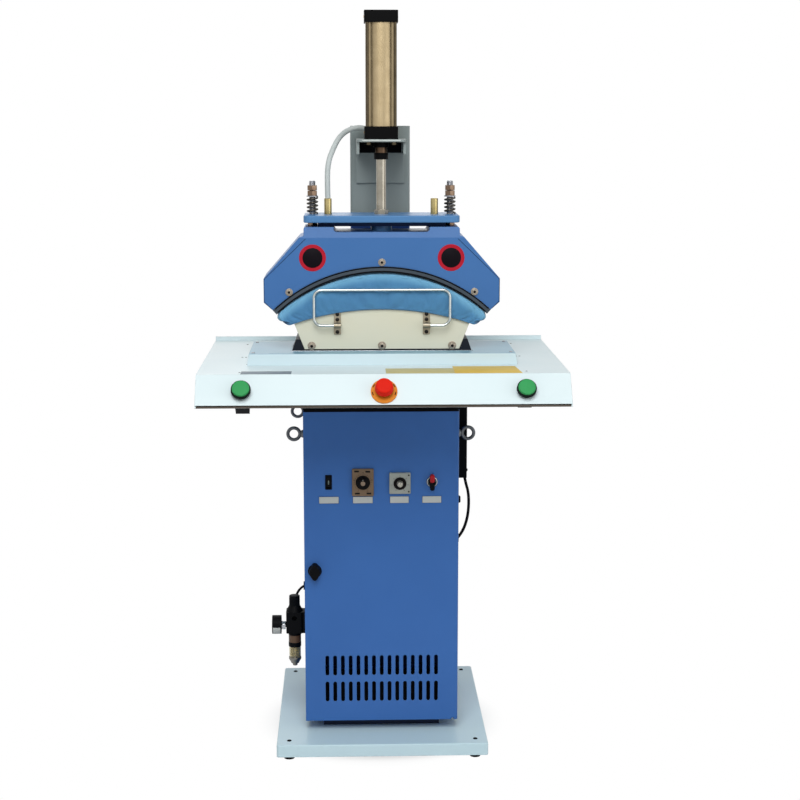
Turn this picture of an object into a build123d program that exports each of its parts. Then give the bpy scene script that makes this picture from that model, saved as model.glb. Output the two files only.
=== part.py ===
# Shirt collar setting machine: a heated curved head comes down on a padded curved buck.
# The frame is X to the right, Y to the back and Z up, with the origin on the floor below
# the middle of the machine. It is drawn with the head closed on the buck. Millimetres.

import os
from math import atan2, cos, degrees, hypot, pi, radians, sin, sqrt, tan

from build123d import *

os.makedirs("parts", exist_ok=True)

# Clearances
running_gap = 0.05
soft_gap = 0.3
sliding_gap = 0.3
panel_gap = 0.5

# Floor stand: a folded tray on four rubber feet
stand_y = 116.0
base_width = 500.0
base_depth = 550.0
base_edge = 29.5
base_wall = 3.0
base_corner = 6.0
foot_height = 12.5
foot_radius = 17.0
foot_neck_radius = 12.5
foot_inset_x = 29.0
foot_inset_y = 30.0
rail_length = 280.0
rail_depth = 40.0
rail_height = 26.0
rail_wall = 3.0
rail_spread = 250.0

# Cabinet: sheet-steel body, full-face door and slotted rear panel
cab_width = 365.0
cab_depth = 370.0
cab_height = 761.0
sheet = 2.0
flange = 12.0
door_depth = 18.0
hinge_radius = 5.0
hinge_pin_radius = 2.5
hinge_pin_length = 34.0
hinge_lug = 3.5
slot_width = 9.0
slot_length = 49.5
slot_pitch = 18.6
slot_count = 15
slot_row_heights = (141.0, 206.0)
cable_hole_radius = 40.0

# Door latch
latch_x = -158.0
latch_z = 440.5
latch_shaft_radius = 6.0
latch_wing_radius = 14.0
latch_tip_radius = 8.0
latch_tip_reach = 12.0
latch_depth = 20.0
latch_draft = 4.0
latch_edge = 2.5
latch_cam_reach = 17.0
latch_cam_width = 13.0
latch_cam_thick = 3.0

# Door instruments, from left to right
instrument_z = 655.5
rocker_x = -124.0
rocker_frame_width = 16.0
rocker_frame_height = 35.0
rocker_frame_rim = 1.5
rocker_tilt = 12.0
rocker_width = 10.0
rocker_half_length = 13.0
rocker_pivot_depth = 6.0
rocker_proud = 3.0
rocker_end_gap = 2.0
switch_body_depth = 26.0
instrument_corner = 2.0
instrument_bevel = 1.2
controller_x = -43.5
controller_width = 51.0
controller_height = 65.0
controller_bezel = 7.0
controller_body = 44.0
controller_body_depth = 72.0
controller_knob_radius = 13.5
controller_knob_height = 12.0
timer_x = 43.5
timer_z = 653.0
timer_face = 50.0
timer_bezel = 8.0
timer_body = 44.0
timer_body_depth = 66.0
timer_knob_radius = 8.0
timer_knob_height = 13.0
knob_stem_radius = 3.0
knob_stem_length = 5.0
knob_draft = 6.0
knob_skirt_share = 0.5
knob_bar_length = 1.5
knob_bar_width = 0.5
knob_stem_share = 0.25
selector_x = 119.2
selector_ring_radius = 13.0
selector_ring_height = 3.5
selector_barrel_radius = 10.0
selector_body_depth = 38.0
selector_dome_radius = 8.5
selector_dome_height = 2.0
selector_lever_width = 11.0
selector_lever_length = 38.0
selector_lever_height = 13.0
selector_edge = 1.5

# Gear inside the cabinet
mount_plate_width = 352.0
mount_plate_bottom = 300.0
mount_plate_height = 330.0
relay_size = (45.0, 80.0, 75.0)
relay_step = 18.0
relay_step_depth = 25.0
relay_x = -60.0
terminal_size = (120.0, 38.0, 42.0)
terminal_count = 15
terminal_groove = 1.0
terminal_groove_depth = 6.0
terminal_x = 60.0
gear_row_z = 540.0
din_rail_length = 260.0
din_rail_height = 35.0
din_rail_depth = 7.5
din_rail_sheet = 1.5
din_rail_hem = 7.0
valve_size = (110.0, 46.0, 24.0)
valve_coil = (26.0, 34.0, 38.0)
valve_corner = 3.0
coil_corner = 4.0
valve_z = 380.0

# Lifting eyes
eye_ring_radius = 14.0
eye_wire_radius = 4.0
eye_offset = 22.5
eye_spread_y = 300.0
eye_drop = 64.0
eye_collar_radius = 10.0
eye_collar_draft = 20.0
eye_shank_radius = 4.0
eye_shank_length = 16.0
eye_nut_width = 13.0
eye_nut_height = 6.5

# Table, its support and the platform cover round the buck
support_width = 364.0
support_front = -74.0
support_back = 190.0
support_wall = 3.0
table_height = 955.5
table_width = 806.0
table_front = -344.0
table_back = 200.0
table_sheet = 2.0
table_lip = 10.0
table_skirt = 40.0
apron_run = 46.0
apron_drop = 59.7
apron_hem = 6.0
apron_return = 16.0
apron_bore_depth = 6.0
platform_width = 602.0
platform_front = -219.0
platform_back = -8.0
platform_height = 25.5
platform_taper = 9.0

# Buck: black foot, cream plates, arched plate and the pad over it
head_front = -174.0
head_depth = 130.0
arch_radius = 342.0
arch_crown_rise = 203.0
pad_crown = 14.0
buck_foot_width = 404.0
buck_foot_top_width = 386.0
buck_foot_rise = 51.5
buck_front = -169.0
buck_depth = 115.0
buck_plate = 3.0
buck_bottom_rise = 29.5
buck_bottom_width = 348.0
buck_shoulder_width = 415.0
buck_arch_plate = 10.0
pad_thick = 11.7
pad_end = 232.0
pad_corner_x = 215.0
pad_corner_rise = 88.5
pad_crease_proud = 2.0
pad_hem_rise = 124.5
pad_crease_end_rise = 121.5
pad_crease_rise = 162.5
pad_crown_run = 26.0
pad_crown_steps = ((0.0, 0.0), (0.22, 0.62), (0.55, 0.9), (1.0, 1.0))

# Bail in front of the buck
bail_wire_radius = 3.0
bail_rise = 84.5
bail_height = 79.7
bail_half_width = 152.0
bail_bend = 17.0
bail_bracket_x = 100.0
bail_bracket_width = 16.0
bail_bracket_height = 52.0
bail_bracket_thick = 2.5
bail_bracket_corner = 1.5
bail_bracket_rise = 88.5
bail_knuckle_radius = 6.0
bail_stand_off = 5.0

# Head: casing, die, heaters and the sprung crossbar
head_rise = 303.0
head_top_width = 348.0
head_flange = 18.5
head_shoulder_x = 184.0
head_shoulder_rise = 280.5
head_side_x = 264.0
head_side_top_rise = 188.5
head_side_bottom_rise = 135.5
head_foot_x = 244.0
head_recess_width = 210.0
head_recess_depth = 11.0
head_top_corner = 5.0
head_lean = 6.0
head_lean_rise = 279.5
casing_wall = 3.0
casing_lean = 0.4
strip_depth = 12.5
strip_width = 11.0
strip_proud = 3.0
die_thick = 30.0
die_end = 238.0
die_step = 8.0
heater_radius = 6.0
heater_spread = 54.0
heater_end = 200.0
crossbar_width = 348.0
crossbar_rise = 312.5
crossbar_thick = 16.0
crossbar_corner = 12.0
crossbar_edge = 3.0
pivot_radius = 24.0
stud_x = 155.0
stud_radius = 7.5
stud_rise = 403.1
stud_end_bevel = 1.2
stud_nut_width = 21.0
stud_nut_height = 11.0
stud_thin_nut_height = 9.0
stud_nut_gap = 1.0
washer_radius = 13.0
washer_thick = 2.5
spring_radius = 11.0
spring_wire = 2.2
spring_height = 39.0
spring_turns = 4
arc_samples = 6
nipple_x = 120.0
nipple_radius = 8.4
nipple_bore = 6.6
nipple_rise = 363.5

# Column, bracket and cylinder
column_width = 138.0
column_front = 6.0
column_depth = 80.0
column_rise = 524.0
column_wall = 5.0
column_corner = 6.0
column_foot_width = 190.0
column_foot_thick = 10.0
bracket_rise = 495.5
bracket_plate = 6.0
bracket_width = 110.0
bracket_nose = 46.0
bracket_corner = 12.0
bracket_back_height = 96.0
bracket_cheek = 27.0
cylinder_y = -109.0
cap_size = 75.0
cap_corner = 6.0
lower_cap_height = 28.0
upper_cap_height = 26.0
barrel_length = 226.0
barrel_radius = 34.5
bore_radius = 31.5
tie_rod_radius = 3.6
tie_rod_offset = 30.8
mount_bolt_head = 6.5
mount_bolt_offset = 28.25
rod_radius = 11.0
rod_end_radius = 8.0
rod_end_length = 22.0
gland_radius = 17.0
gland_length = 18.0
gland_bush_radius = 13.5
gland_bush_length = 13.0
gland_collar_radius = 16.0
gland_collar_length = 14.0
rod_nut_width = 27.0
rod_nut_height = 10.0
piston_gap = 0.1
piston_height = 24.0
piston_rise = 3.0

# Push buttons on the apron
button_inset = 98.0
button_radius = 21.5
button_drop = 43.6
button_height = 14.5
button_edge = 2.5
button_travel = 4.0
button_stem_radius = 8.0
button_collar_radius = 17.0
button_collar_height = 3.0
button_barrel_radius = 11.0
button_block = 30.0
button_block_reach = 42.0
left_block_reach = 64.0
estop_ring_radius = 28.5
estop_ring_thick = 4.0
estop_head_radius = 20.0
estop_head_height = 18.0
estop_draft = 8.0
estop_edge = 4.0
estop_neck_radius = 13.0
estop_stand = 9.0
estop_stem_radius = 9.0
stem_length = 14.0
stem_end_gap = 2.0

# Filter regulator on the left wall
regulator_x = -209.0
regulator_y = -9.0
regulator_width = 40.0
regulator_depth = 42.0
regulator_bottom = 274.0
regulator_shoulder = 326.0
regulator_top = 339.0
regulator_corner = 5.0
regulator_bracket_inset = 3.0
port_radius = 5.9
port_depth = 12.0
port_z = 312.0
regulator_knob_radius = 13.2
regulator_knob_height = 24.5
regulator_knob_edge = 1.5
regulator_knob_gap = 1.0
bowl_radius = 14.0
bowl_wall = 2.0
bowl_height = 70.0
bowl_tip = 15.0
bowl_cone_share = 0.6
bowl_drain_radius = 3.0
gauge_radius = 22.5
gauge_depth = 22.0
gauge_x = -263.0
gauge_z = 291.0
gauge_stem_radius = 7.0
gauge_rim = 2.0
gauge_recess = 4.0
needle_length = 14.0
needle_hub_radius = 2.5
needle_width = 1.0
needle_tail = 1.2
needle_angle = 45.0
needle_pin_depth = 3.0

# Cable duct, power cord, air tube and heater conduit
duct_y = 18.0
duct_width = 50.0
duct_depth = 23.0
duct_bottom = 650.0
duct_corner = 2.0
cord_radius = 3.5
air_tube_radius = 3.0
conduit_radius = 6.0
cord_y = 8.0
cord_edge_gap = 1.0
conduit_gland_x = -14.0
conduit_gland_rise = 510.5
gland_nose = 10.0
grommet_thick = 5.0
grommet_rim = 4.0
grommet_fit = 2.1
elbow_radius = 6.5
elbow_reach = 12.0
elbow_height = 18.0
elbow_socket = 8.0

# How the leads run: the cord by its bow outwards and its drop, the tube by its run towards
# the wall and its rise, the conduit by its steps from the nipple
cord_bow = (
    (0.0, 0.0), (3.0, 16.0), (9.0, 36.0), (11.0, 62.0), (9.0, 94.0), (2.0, 122.0),
    (-8.0, 142.0), (-15.3, 150.5),
)
tube_bow = (
    (0.0, 4.0), (1.5, 16.0), (5.0, 28.0), (11.0, 38.0), (19.0, 45.5), (24.5, 48.0),
)
conduit_bow = (
    (0.0, 0.0, 0.0), (-1.6, 2.0, 52.0), (2.5, 9.0, 85.0), (11.0, 19.0, 107.0),
    (25.0, 39.0, 135.0), (45.0, 62.0, 151.5), (70.0, 76.0, 158.0), (96.0, 85.0, 152.0),
)

# Worked out from the sizes above
base_top = foot_height + base_edge
cab_bottom = base_top + rail_height
cab_top = cab_bottom + cab_height
eye_z = cab_top - eye_drop
cab_front = stand_y - cab_depth / 2
cab_back = stand_y + cab_depth / 2
cab_side = cab_width / 2
body_front = cab_front + door_depth + panel_gap
body_back = cab_back - sheet
hinge_x = cab_side - hinge_radius
hinge_y = cab_front + hinge_radius
table_under = table_height - table_sheet
arch_crown = table_height + arch_crown_rise
buck_foot_top = table_height + buck_foot_rise
buck_bottom = table_height + buck_bottom_rise
pad_corner_z = table_height + pad_corner_rise
pad_hem_crown = table_height + pad_hem_rise
pad_crease_end_z = table_height + pad_crease_end_rise
pad_crease_crown = table_height + pad_crease_rise
bail_z = table_height + bail_rise
bail_bracket_z = table_height + bail_bracket_rise
head_top = table_height + head_rise
head_shoulder_z = table_height + head_shoulder_rise
head_side_top = table_height + head_side_top_rise
head_side_bottom = table_height + head_side_bottom_rise
head_lean_foot = table_height + head_lean_rise
crossbar_bottom = table_height + crossbar_rise
stud_top = table_height + stud_rise
nipple_top = table_height + nipple_rise
column_top = table_height + column_rise
bracket_top = table_height + bracket_rise
conduit_gland_z = table_height + conduit_gland_rise
platform_top = table_height + platform_height
arch_z = arch_crown - arch_radius
pad_radius = arch_radius - soft_gap
former_radius = pad_radius - pad_crown
head_back = head_front + head_depth
head_mid = head_front + head_depth / 2
buck_back = buck_front + buck_depth
crossbar_top = crossbar_bottom + crossbar_thick
lower_cap_top = bracket_top + lower_cap_height
upper_cap_bottom = lower_cap_top + barrel_length
apron_slope = degrees(atan2(apron_run, apron_drop))
apron_length = hypot(apron_run, apron_drop)
apron_tangent = (0, -sin(radians(apron_slope)), -cos(radians(apron_slope)))
apron_normal = (0, -cos(radians(apron_slope)), sin(radians(apron_slope)))
apron_plane = Plane(origin=(0, table_front, table_height), x_dir=(1, 0, 0), z_dir=apron_normal)
button_x = table_width / 2 - button_inset
button_v = -button_drop
button_base = button_collar_height + button_travel + panel_gap


def front_plane(y):
    """A plane at depth y that faces the front, with its own y upwards."""
    return Plane.XZ.offset(-y)


def circle_height(radius, x):
    """How high a circle of this radius stands above its centre at x."""
    return sqrt(radius**2 - x**2)


def blended_tube(points, radius, name):
    """A tube along straight runs joined by the largest arcs that the runs allow."""
    stops = [Vector(*p) for p in points]
    runs = [stops[i + 1] - stops[i] for i in range(len(stops) - 1)]
    bends = []
    for before, after in zip(runs, runs[1:]):
        turn = radians(before.get_angle(after))
        bends.append(0.45 * min(before.length, after.length) / tan(turn / 2))
    with BuildPart() as tube:
        with BuildLine() as route:
            FilletPolyline(*stops, radius=bends)
        start = Plane(origin=stops[0], z_dir=runs[0])
        with BuildSketch(start):
            Circle(radius)
        sweep(path=route.wires()[0])
    length = route.wires()[0].length
    ideal = pi * radius**2 * length
    print(f"{name}: length {length:.1f}, volume {tube.part.volume / ideal:.4f} of section x length")
    print(f"{name}: bend radii", [round(bend, 1) for bend in bends])
    return tube


# Floor stand

with BuildPart() as base_plate:
    with BuildSketch(Plane.XY.offset(foot_height)):
        with Locations((0, stand_y)):
            RectangleRounded(base_width, base_depth, base_corner)
    extrude(amount=base_edge)
    fillet(base_plate.faces().sort_by(Axis.Z)[-1].edges(), base_wall)
    with BuildSketch(Plane.XY.offset(foot_height)):
        with Locations((0, stand_y)):
            Rectangle(base_width - 2 * base_wall, base_depth - 2 * base_wall)
    extrude(amount=base_edge - base_wall, mode=Mode.SUBTRACT)

foot_spread_x = base_width - 2 * foot_inset_x
foot_spread_y = base_depth - 2 * foot_inset_y
foot_top = base_top - base_wall

with BuildPart() as feet:
    with Locations((0, stand_y, 0)):
        with GridLocations(foot_spread_x, foot_spread_y, 2, 2):
            Cone(foot_neck_radius, foot_radius, foot_height, align=(Align.CENTER, Align.CENTER, Align.MIN))
    with Locations((0, stand_y, foot_height)):
        with GridLocations(foot_spread_x, foot_spread_y, 2, 2):
            Cylinder(foot_neck_radius, foot_top - foot_height, align=(Align.CENTER, Align.CENTER, Align.MIN))

with BuildPart() as plinth_rails:
    with BuildSketch(Plane.YZ.offset(-rail_length / 2)):
        with Locations((stand_y, base_top + rail_height / 2)):
            with GridLocations(rail_spread, 0, 2, 1):
                RectangleRounded(rail_depth, rail_height, rail_wall)
                Rectangle(rail_depth - 2 * rail_wall, rail_height - 2 * rail_wall, mode=Mode.SUBTRACT)
    extrude(amount=rail_length)

# Cabinet

body_depth = body_back - body_front
body_mid = (body_back + body_front) / 2
eye_x = cab_side + eye_offset
wall_front = hinge_y + hinge_radius + panel_gap
eye_rows = (stand_y - eye_spread_y / 2, stand_y + eye_spread_y / 2)

with BuildPart() as cabinet_body:
    with BuildSketch(Plane.XY.offset(cab_bottom)):
        with Locations((0, body_mid)):
            Rectangle(cab_width, body_depth)
    extrude(amount=cab_height)
    with BuildSketch(Plane.XY.offset(cab_bottom + sheet)):
        with Locations((0, body_mid)):
            Rectangle(cab_width - 2 * sheet, body_depth - 2 * sheet)
    extrude(amount=cab_height - 2 * sheet, mode=Mode.SUBTRACT)
    with BuildSketch(front_plane(body_back)):
        with Locations((0, cab_bottom + cab_height / 2)):
            Rectangle(cab_width - 2 * flange, cab_height - 2 * flange)
    extrude(amount=body_depth, mode=Mode.SUBTRACT)
    with BuildSketch(Plane.XY.offset(cab_top)):
        with Locations((0, stand_y)):
            Circle(cable_hole_radius)
    extrude(amount=-sheet, mode=Mode.SUBTRACT)
    with BuildSketch(Plane.XY.offset(cab_bottom)):
        with Locations((cab_side - sheet / 2, (wall_front + body_front) / 2)):
            Rectangle(sheet, body_front - wall_front)
    extrude(amount=cab_height)
    for lug_bottom in (cab_bottom, cab_top - hinge_lug):
        with BuildSketch(Plane.XY.offset(lug_bottom)):
            with Locations((hinge_x, hinge_y)):
                Circle(hinge_radius)
            with Locations((hinge_x, (hinge_y + body_front) / 2)):
                Rectangle(2 * hinge_radius, body_front - hinge_y)
            with Locations((hinge_x, hinge_y)):
                Circle(hinge_pin_radius + running_gap, mode=Mode.SUBTRACT)
        extrude(amount=hinge_lug)
    for eye_y in eye_rows:
        with BuildSketch(Plane.YZ.offset(-cab_side)):
            with Locations((eye_y, eye_z)):
                Circle(eye_shank_radius + running_gap)
        extrude(amount=cab_width, mode=Mode.SUBTRACT)

slot_rise = slot_row_heights[1] - slot_row_heights[0]
slot_mid = sum(slot_row_heights) / 2
door_left = -cab_side
door_flange_end = hinge_x - 2 * hinge_radius
lug_space = hinge_lug + sliding_gap
timer_hole = timer_body + 2 * panel_gap
controller_hole = controller_body + 2 * panel_gap
rocker_hole_width = rocker_frame_width - 2 * rocker_frame_rim
rocker_hole_height = rocker_frame_height - 2 * rocker_frame_rim

with BuildPart() as front_door:
    with BuildSketch(front_plane(cab_front + sheet)):
        with Locations(((door_left + hinge_x) / 2, cab_bottom + cab_height / 2)):
            Rectangle(hinge_x - door_left, cab_height)
        with Locations((hinge_x, cab_bottom), (hinge_x, cab_top)):
            Rectangle(4 * hinge_radius, 2 * lug_space, mode=Mode.SUBTRACT)
    extrude(amount=sheet)
    with BuildSketch(Plane.XY.offset(cab_bottom)):
        with Locations((door_left + sheet / 2, cab_front + door_depth / 2)):
            Rectangle(sheet, door_depth)
    extrude(amount=cab_height)
    for flange_bottom in (cab_bottom, cab_top - sheet):
        with BuildSketch(Plane.XY.offset(flange_bottom)):
            with Locations(((door_left + door_flange_end) / 2, cab_front + door_depth / 2)):
                Rectangle(door_flange_end - door_left, door_depth)
        extrude(amount=sheet)
    with BuildSketch(Plane.XY.offset(cab_bottom + lug_space)):
        with Locations((hinge_x, hinge_y)):
            Circle(hinge_radius)
    extrude(amount=cab_height - 2 * lug_space)
    with BuildSketch(Plane.XY.offset(cab_bottom + lug_space)):
        with Locations((hinge_x, hinge_y)):
            Circle(hinge_pin_radius + running_gap)
    extrude(amount=cab_height - 2 * lug_space, mode=Mode.SUBTRACT)
    with BuildSketch(front_plane(cab_front + sheet)):
        with Locations((0, slot_mid)):
            with GridLocations(slot_pitch, slot_rise, slot_count, 2):
                SlotOverall(slot_length, slot_width, rotation=90)
        with Locations((latch_x, latch_z)):
            Circle(latch_shaft_radius + running_gap)
        with Locations((rocker_x, instrument_z)):
            Rectangle(rocker_hole_width, rocker_hole_height)
        with Locations((controller_x, instrument_z)):
            Rectangle(controller_hole, controller_hole)
        with Locations((timer_x, timer_z)):
            Rectangle(timer_hole, timer_hole)
        with Locations((selector_x, instrument_z)):
            Circle(selector_barrel_radius + running_gap)
    extrude(amount=sheet, mode=Mode.SUBTRACT)

with BuildPart() as rear_panel:
    with BuildSketch(front_plane(cab_back)):
        with Locations((0, cab_bottom + cab_height / 2)):
            Rectangle(cab_width, cab_height)
        with Locations((0, slot_mid)):
            with GridLocations(slot_pitch, slot_rise, slot_count, 2):
                SlotOverall(slot_length, slot_width, rotation=90, mode=Mode.SUBTRACT)
    extrude(amount=sheet)

with BuildPart() as hinge_pins:
    for pin_bottom in (cab_bottom, cab_top - hinge_pin_length):
        with BuildSketch(Plane.XY.offset(pin_bottom)):
            with Locations((hinge_x, hinge_y)):
                Circle(hinge_pin_radius)
        extrude(amount=hinge_pin_length)

cam_front = body_front + sheet + sliding_gap
cam_back = cam_front + latch_cam_thick
knob_back = cab_front - sliding_gap

with BuildPart() as latch_knob:
    with BuildSketch(front_plane(knob_back)):
        with Locations((latch_x, latch_z)):
            Circle(latch_wing_radius)
            with PolarLocations(latch_tip_reach, 2, start_angle=90):
                Circle(latch_tip_radius)
        make_hull()
    extrude(amount=latch_depth, taper=latch_draft)
    fillet(latch_knob.faces().sort_by(Axis.Y)[0].edges(), latch_edge)
    with BuildSketch(front_plane(cam_back)):
        with Locations((latch_x, latch_z)):
            Circle(latch_shaft_radius)
    extrude(amount=cam_back - knob_back)
    with BuildSketch(front_plane(cam_back)):
        with Locations((latch_x, latch_z + (latch_cam_reach - latch_cam_width / 2) / 2)):
            SlotOverall(latch_cam_reach + latch_cam_width / 2, latch_cam_width, rotation=90)
    extrude(amount=latch_cam_thick)

# Door instruments

with BuildPart() as switch_bodies:
    with BuildSketch(front_plane(cab_front)):
        with Locations((rocker_x, instrument_z)):
            RectangleRounded(rocker_frame_width, rocker_frame_height, rocker_frame_rim)
    extrude(amount=rocker_frame_rim)
    with BuildSketch(front_plane(cab_front)):
        with Locations((rocker_x, instrument_z)):
            Rectangle(rocker_hole_width - panel_gap, rocker_hole_height - panel_gap)
    extrude(amount=-switch_body_depth)
    with BuildSketch(front_plane(cab_front - rocker_frame_rim)):
        with Locations((rocker_x, instrument_z)):
            Rectangle(rocker_width + 2 * sliding_gap, 2 * (rocker_half_length + rocker_end_gap))
    extrude(amount=-(rocker_frame_rim + 2 * rocker_pivot_depth), mode=Mode.SUBTRACT)
    with BuildSketch(front_plane(cab_front + selector_body_depth)):
        with Locations((selector_x, instrument_z)):
            Circle(selector_barrel_radius)
    extrude(amount=selector_body_depth)
    with BuildSketch(front_plane(cab_front)):
        with Locations((selector_x, instrument_z)):
            Circle(selector_ring_radius)
    extrude(amount=selector_ring_height)
    with BuildSketch(front_plane(cab_front - selector_ring_height)):
        with Locations((selector_x, instrument_z)):
            Circle(selector_dome_radius + sliding_gap)
    extrude(amount=-(selector_ring_height + knob_stem_length), mode=Mode.SUBTRACT)

rocker_centre_y = cab_front + rocker_pivot_depth

with BuildPart() as power_rocker:
    with BuildSketch(Plane.YZ.offset(rocker_x - rocker_width / 2)):
        with Locations(Location((rocker_centre_y, instrument_z), -rocker_tilt)):
            with Locations((-rocker_pivot_depth / 2, 0)):
                Rectangle(rocker_pivot_depth + rocker_proud, 2 * rocker_half_length)
            Circle(rocker_pivot_depth / 2)
    extrude(amount=rocker_width)

controller_face = cab_front - controller_bezel
timer_front = cab_front - timer_bezel

with BuildPart() as temperature_controller:
    with BuildSketch(front_plane(cab_front)):
        with Locations((controller_x, instrument_z)):
            RectangleRounded(controller_width, controller_height, instrument_corner)
    extrude(amount=controller_bezel)
    chamfer(temperature_controller.faces().sort_by(Axis.Y)[0].edges(), instrument_bevel)
    with BuildSketch(front_plane(cab_front)):
        with Locations((controller_x, instrument_z)):
            Rectangle(controller_body, controller_body)
    extrude(amount=-controller_body_depth)
    with BuildSketch(front_plane(controller_face)):
        with Locations((controller_x, instrument_z)):
            Circle(knob_stem_radius + running_gap)
    extrude(amount=-(knob_stem_length + sliding_gap), mode=Mode.SUBTRACT)

with BuildPart() as timer:
    with BuildSketch(front_plane(cab_front)):
        with Locations((timer_x, timer_z)):
            RectangleRounded(timer_face, timer_face, instrument_corner)
    extrude(amount=timer_bezel)
    chamfer(timer.faces().sort_by(Axis.Y)[0].edges(), instrument_bevel)
    with BuildSketch(front_plane(cab_front)):
        with Locations((timer_x, timer_z)):
            Rectangle(timer_body, timer_body)
    extrude(amount=-timer_body_depth)
    with BuildSketch(front_plane(timer_front)):
        with Locations((timer_x, timer_z)):
            Circle(knob_stem_radius + running_gap)
    extrude(amount=-(knob_stem_length + sliding_gap), mode=Mode.SUBTRACT)


def dial_knob(x, z, face_y, radius, height):
    """A skirted knob with a raised grip bar and a stem into the instrument behind it."""
    with BuildPart() as knob:
        with BuildSketch(front_plane(face_y - sliding_gap)):
            with Locations((x, z)):
                Circle(radius)
        extrude(amount=height * knob_skirt_share, taper=knob_draft)
        with BuildSketch(front_plane(face_y - height * knob_skirt_share)):
            with Locations((x, z)):
                SlotOverall(knob_bar_length * radius, knob_bar_width * radius, rotation=90)
        extrude(amount=height * (1 - knob_skirt_share))
        with BuildSketch(front_plane(face_y + knob_stem_length)):
            with Locations((x, z)):
                Circle(knob_stem_radius)
        extrude(amount=knob_stem_length + height * knob_stem_share)
    return knob


temperature_knob = dial_knob(
    controller_x, instrument_z, controller_face, controller_knob_radius, controller_knob_height
)
timer_knob = dial_knob(timer_x, timer_z, timer_front, timer_knob_radius, timer_knob_height)

with BuildPart() as selector_lever:
    with BuildSketch(front_plane(cab_front + knob_stem_length - sliding_gap)):
        with Locations((selector_x, instrument_z)):
            Circle(selector_dome_radius)
    extrude(amount=knob_stem_length + selector_ring_height + selector_dome_height)
    with BuildSketch(front_plane(cab_front - selector_ring_height)):
        with Locations((selector_x, instrument_z)):
            SlotOverall(selector_lever_length, selector_lever_width, rotation=90)
    extrude(amount=selector_lever_height)
    fillet(selector_lever.faces().sort_by(Axis.Y)[0].edges(), selector_edge)

# Gear inside the cabinet, on a plate across the rear flanges

mount_front = body_back - sheet
plate_face = mount_front - sheet

with BuildPart() as mounting_plate:
    with BuildSketch(front_plane(mount_front)):
        with Locations((0, mount_plate_bottom + mount_plate_height / 2)):
            Rectangle(mount_plate_width, mount_plate_height)
    extrude(amount=sheet)

with BuildPart() as din_rail_gear:
    with BuildSketch(Plane.YZ.offset(-din_rail_length / 2)):
        with Locations((plate_face - din_rail_depth / 2, gear_row_z)):
            Rectangle(din_rail_depth, din_rail_height)
        with Locations((plate_face, gear_row_z)):
            Rectangle(
                2 * (din_rail_depth - din_rail_sheet), din_rail_height - 2 * din_rail_hem,
                mode=Mode.SUBTRACT,
            )
    extrude(amount=din_rail_length)
    for gear_x, (wide, tall, deep) in ((relay_x, relay_size), (terminal_x, terminal_size)):
        with BuildSketch(front_plane(plate_face - din_rail_depth)):
            with Locations((gear_x, gear_row_z)):
                Rectangle(wide, tall)
        extrude(amount=deep)
    with BuildSketch(front_plane(plate_face - din_rail_depth - relay_size[2])):
        with Locations((relay_x, gear_row_z)):
            with GridLocations(0, relay_size[1] - relay_step, 1, 2):
                Rectangle(relay_size[0], relay_step)
    extrude(amount=-relay_step_depth, mode=Mode.SUBTRACT)
    with BuildSketch(front_plane(plate_face - din_rail_depth - terminal_size[2])):
        with Locations((terminal_x, gear_row_z)):
            with GridLocations(terminal_size[0] / terminal_count, 0, terminal_count - 1, 1):
                Rectangle(terminal_groove, terminal_size[1])
    extrude(amount=-terminal_groove_depth, mode=Mode.SUBTRACT)

with BuildPart() as solenoid_valve:
    wide, tall, deep = valve_size
    with BuildSketch(front_plane(plate_face)):
        with Locations((0, valve_z)):
            RectangleRounded(wide, tall, valve_corner)
    extrude(amount=deep)
    coil_wide, coil_tall, coil_deep = valve_coil
    with BuildSketch(front_plane(plate_face)):
        with Locations((wide / 2 + coil_wide / 2, valve_z)):
            RectangleRounded(coil_wide, coil_tall, coil_corner)
    extrude(amount=coil_deep)

# Lifting eyes with their nuts inside the cabinet

nut_inner_x = cab_side - sheet - eye_nut_height

with BuildPart() as lifting_eyes:
    for side in (-1, 1):
        outwards = Plane(origin=(side * cab_side, 0, 0), x_dir=(0, side, 0), z_dir=(side, 0, 0))
        for eye_y in eye_rows:
            with Locations(Location((side * eye_x, eye_y, eye_z), (90, 0, 0))):
                Torus(eye_ring_radius, eye_wire_radius)
            with BuildSketch(outwards):
                with Locations((side * eye_y, eye_z)):
                    Circle(eye_collar_radius)
            extrude(amount=eye_offset - eye_ring_radius - eye_wire_radius / 2, taper=eye_collar_draft)
            with BuildSketch(outwards):
                with Locations((side * eye_y, eye_z)):
                    Circle(eye_shank_radius)
            extrude(amount=-eye_shank_length)
            with BuildSketch(outwards.offset(-sheet)):
                with Locations((side * eye_y, eye_z)):
                    RegularPolygon(eye_nut_width / 2, 6, major_radius=False)
                    Circle(eye_shank_radius + running_gap, mode=Mode.SUBTRACT)
            extrude(amount=-eye_nut_height)

# Table and its support

support_side = support_width / 2
side_front = support_front + support_wall

with BuildPart() as table_support:
    with BuildSketch(front_plane(side_front)):
        with Locations((0, (cab_top + sheet + table_under) / 2)):
            Rectangle(support_width, table_under - cab_top - sheet)
    extrude(amount=support_wall)
    with BuildSketch(front_plane(support_back)):
        with Locations((0, (cab_top + table_under) / 2)):
            Rectangle(support_width, table_under - cab_top)
    extrude(amount=support_wall)
    for side in (-1, 1):
        with BuildSketch(Plane.YZ.offset(side * (support_side - support_wall / 2) - support_wall / 2)):
            with BuildLine():
                Polyline(
                    (side_front, table_under),
                    (side_front, cab_top + sheet),
                    (body_front, cab_top + sheet),
                    (body_front, cab_top),
                    (support_back - support_wall, cab_top),
                    (support_back - support_wall, table_under),
                    close=True,
                )
            make_face()
        extrude(amount=support_wall)

apron_foot_y = table_front - apron_run
apron_foot_z = table_height - apron_drop
hem_z = apron_foot_z - apron_hem

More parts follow.
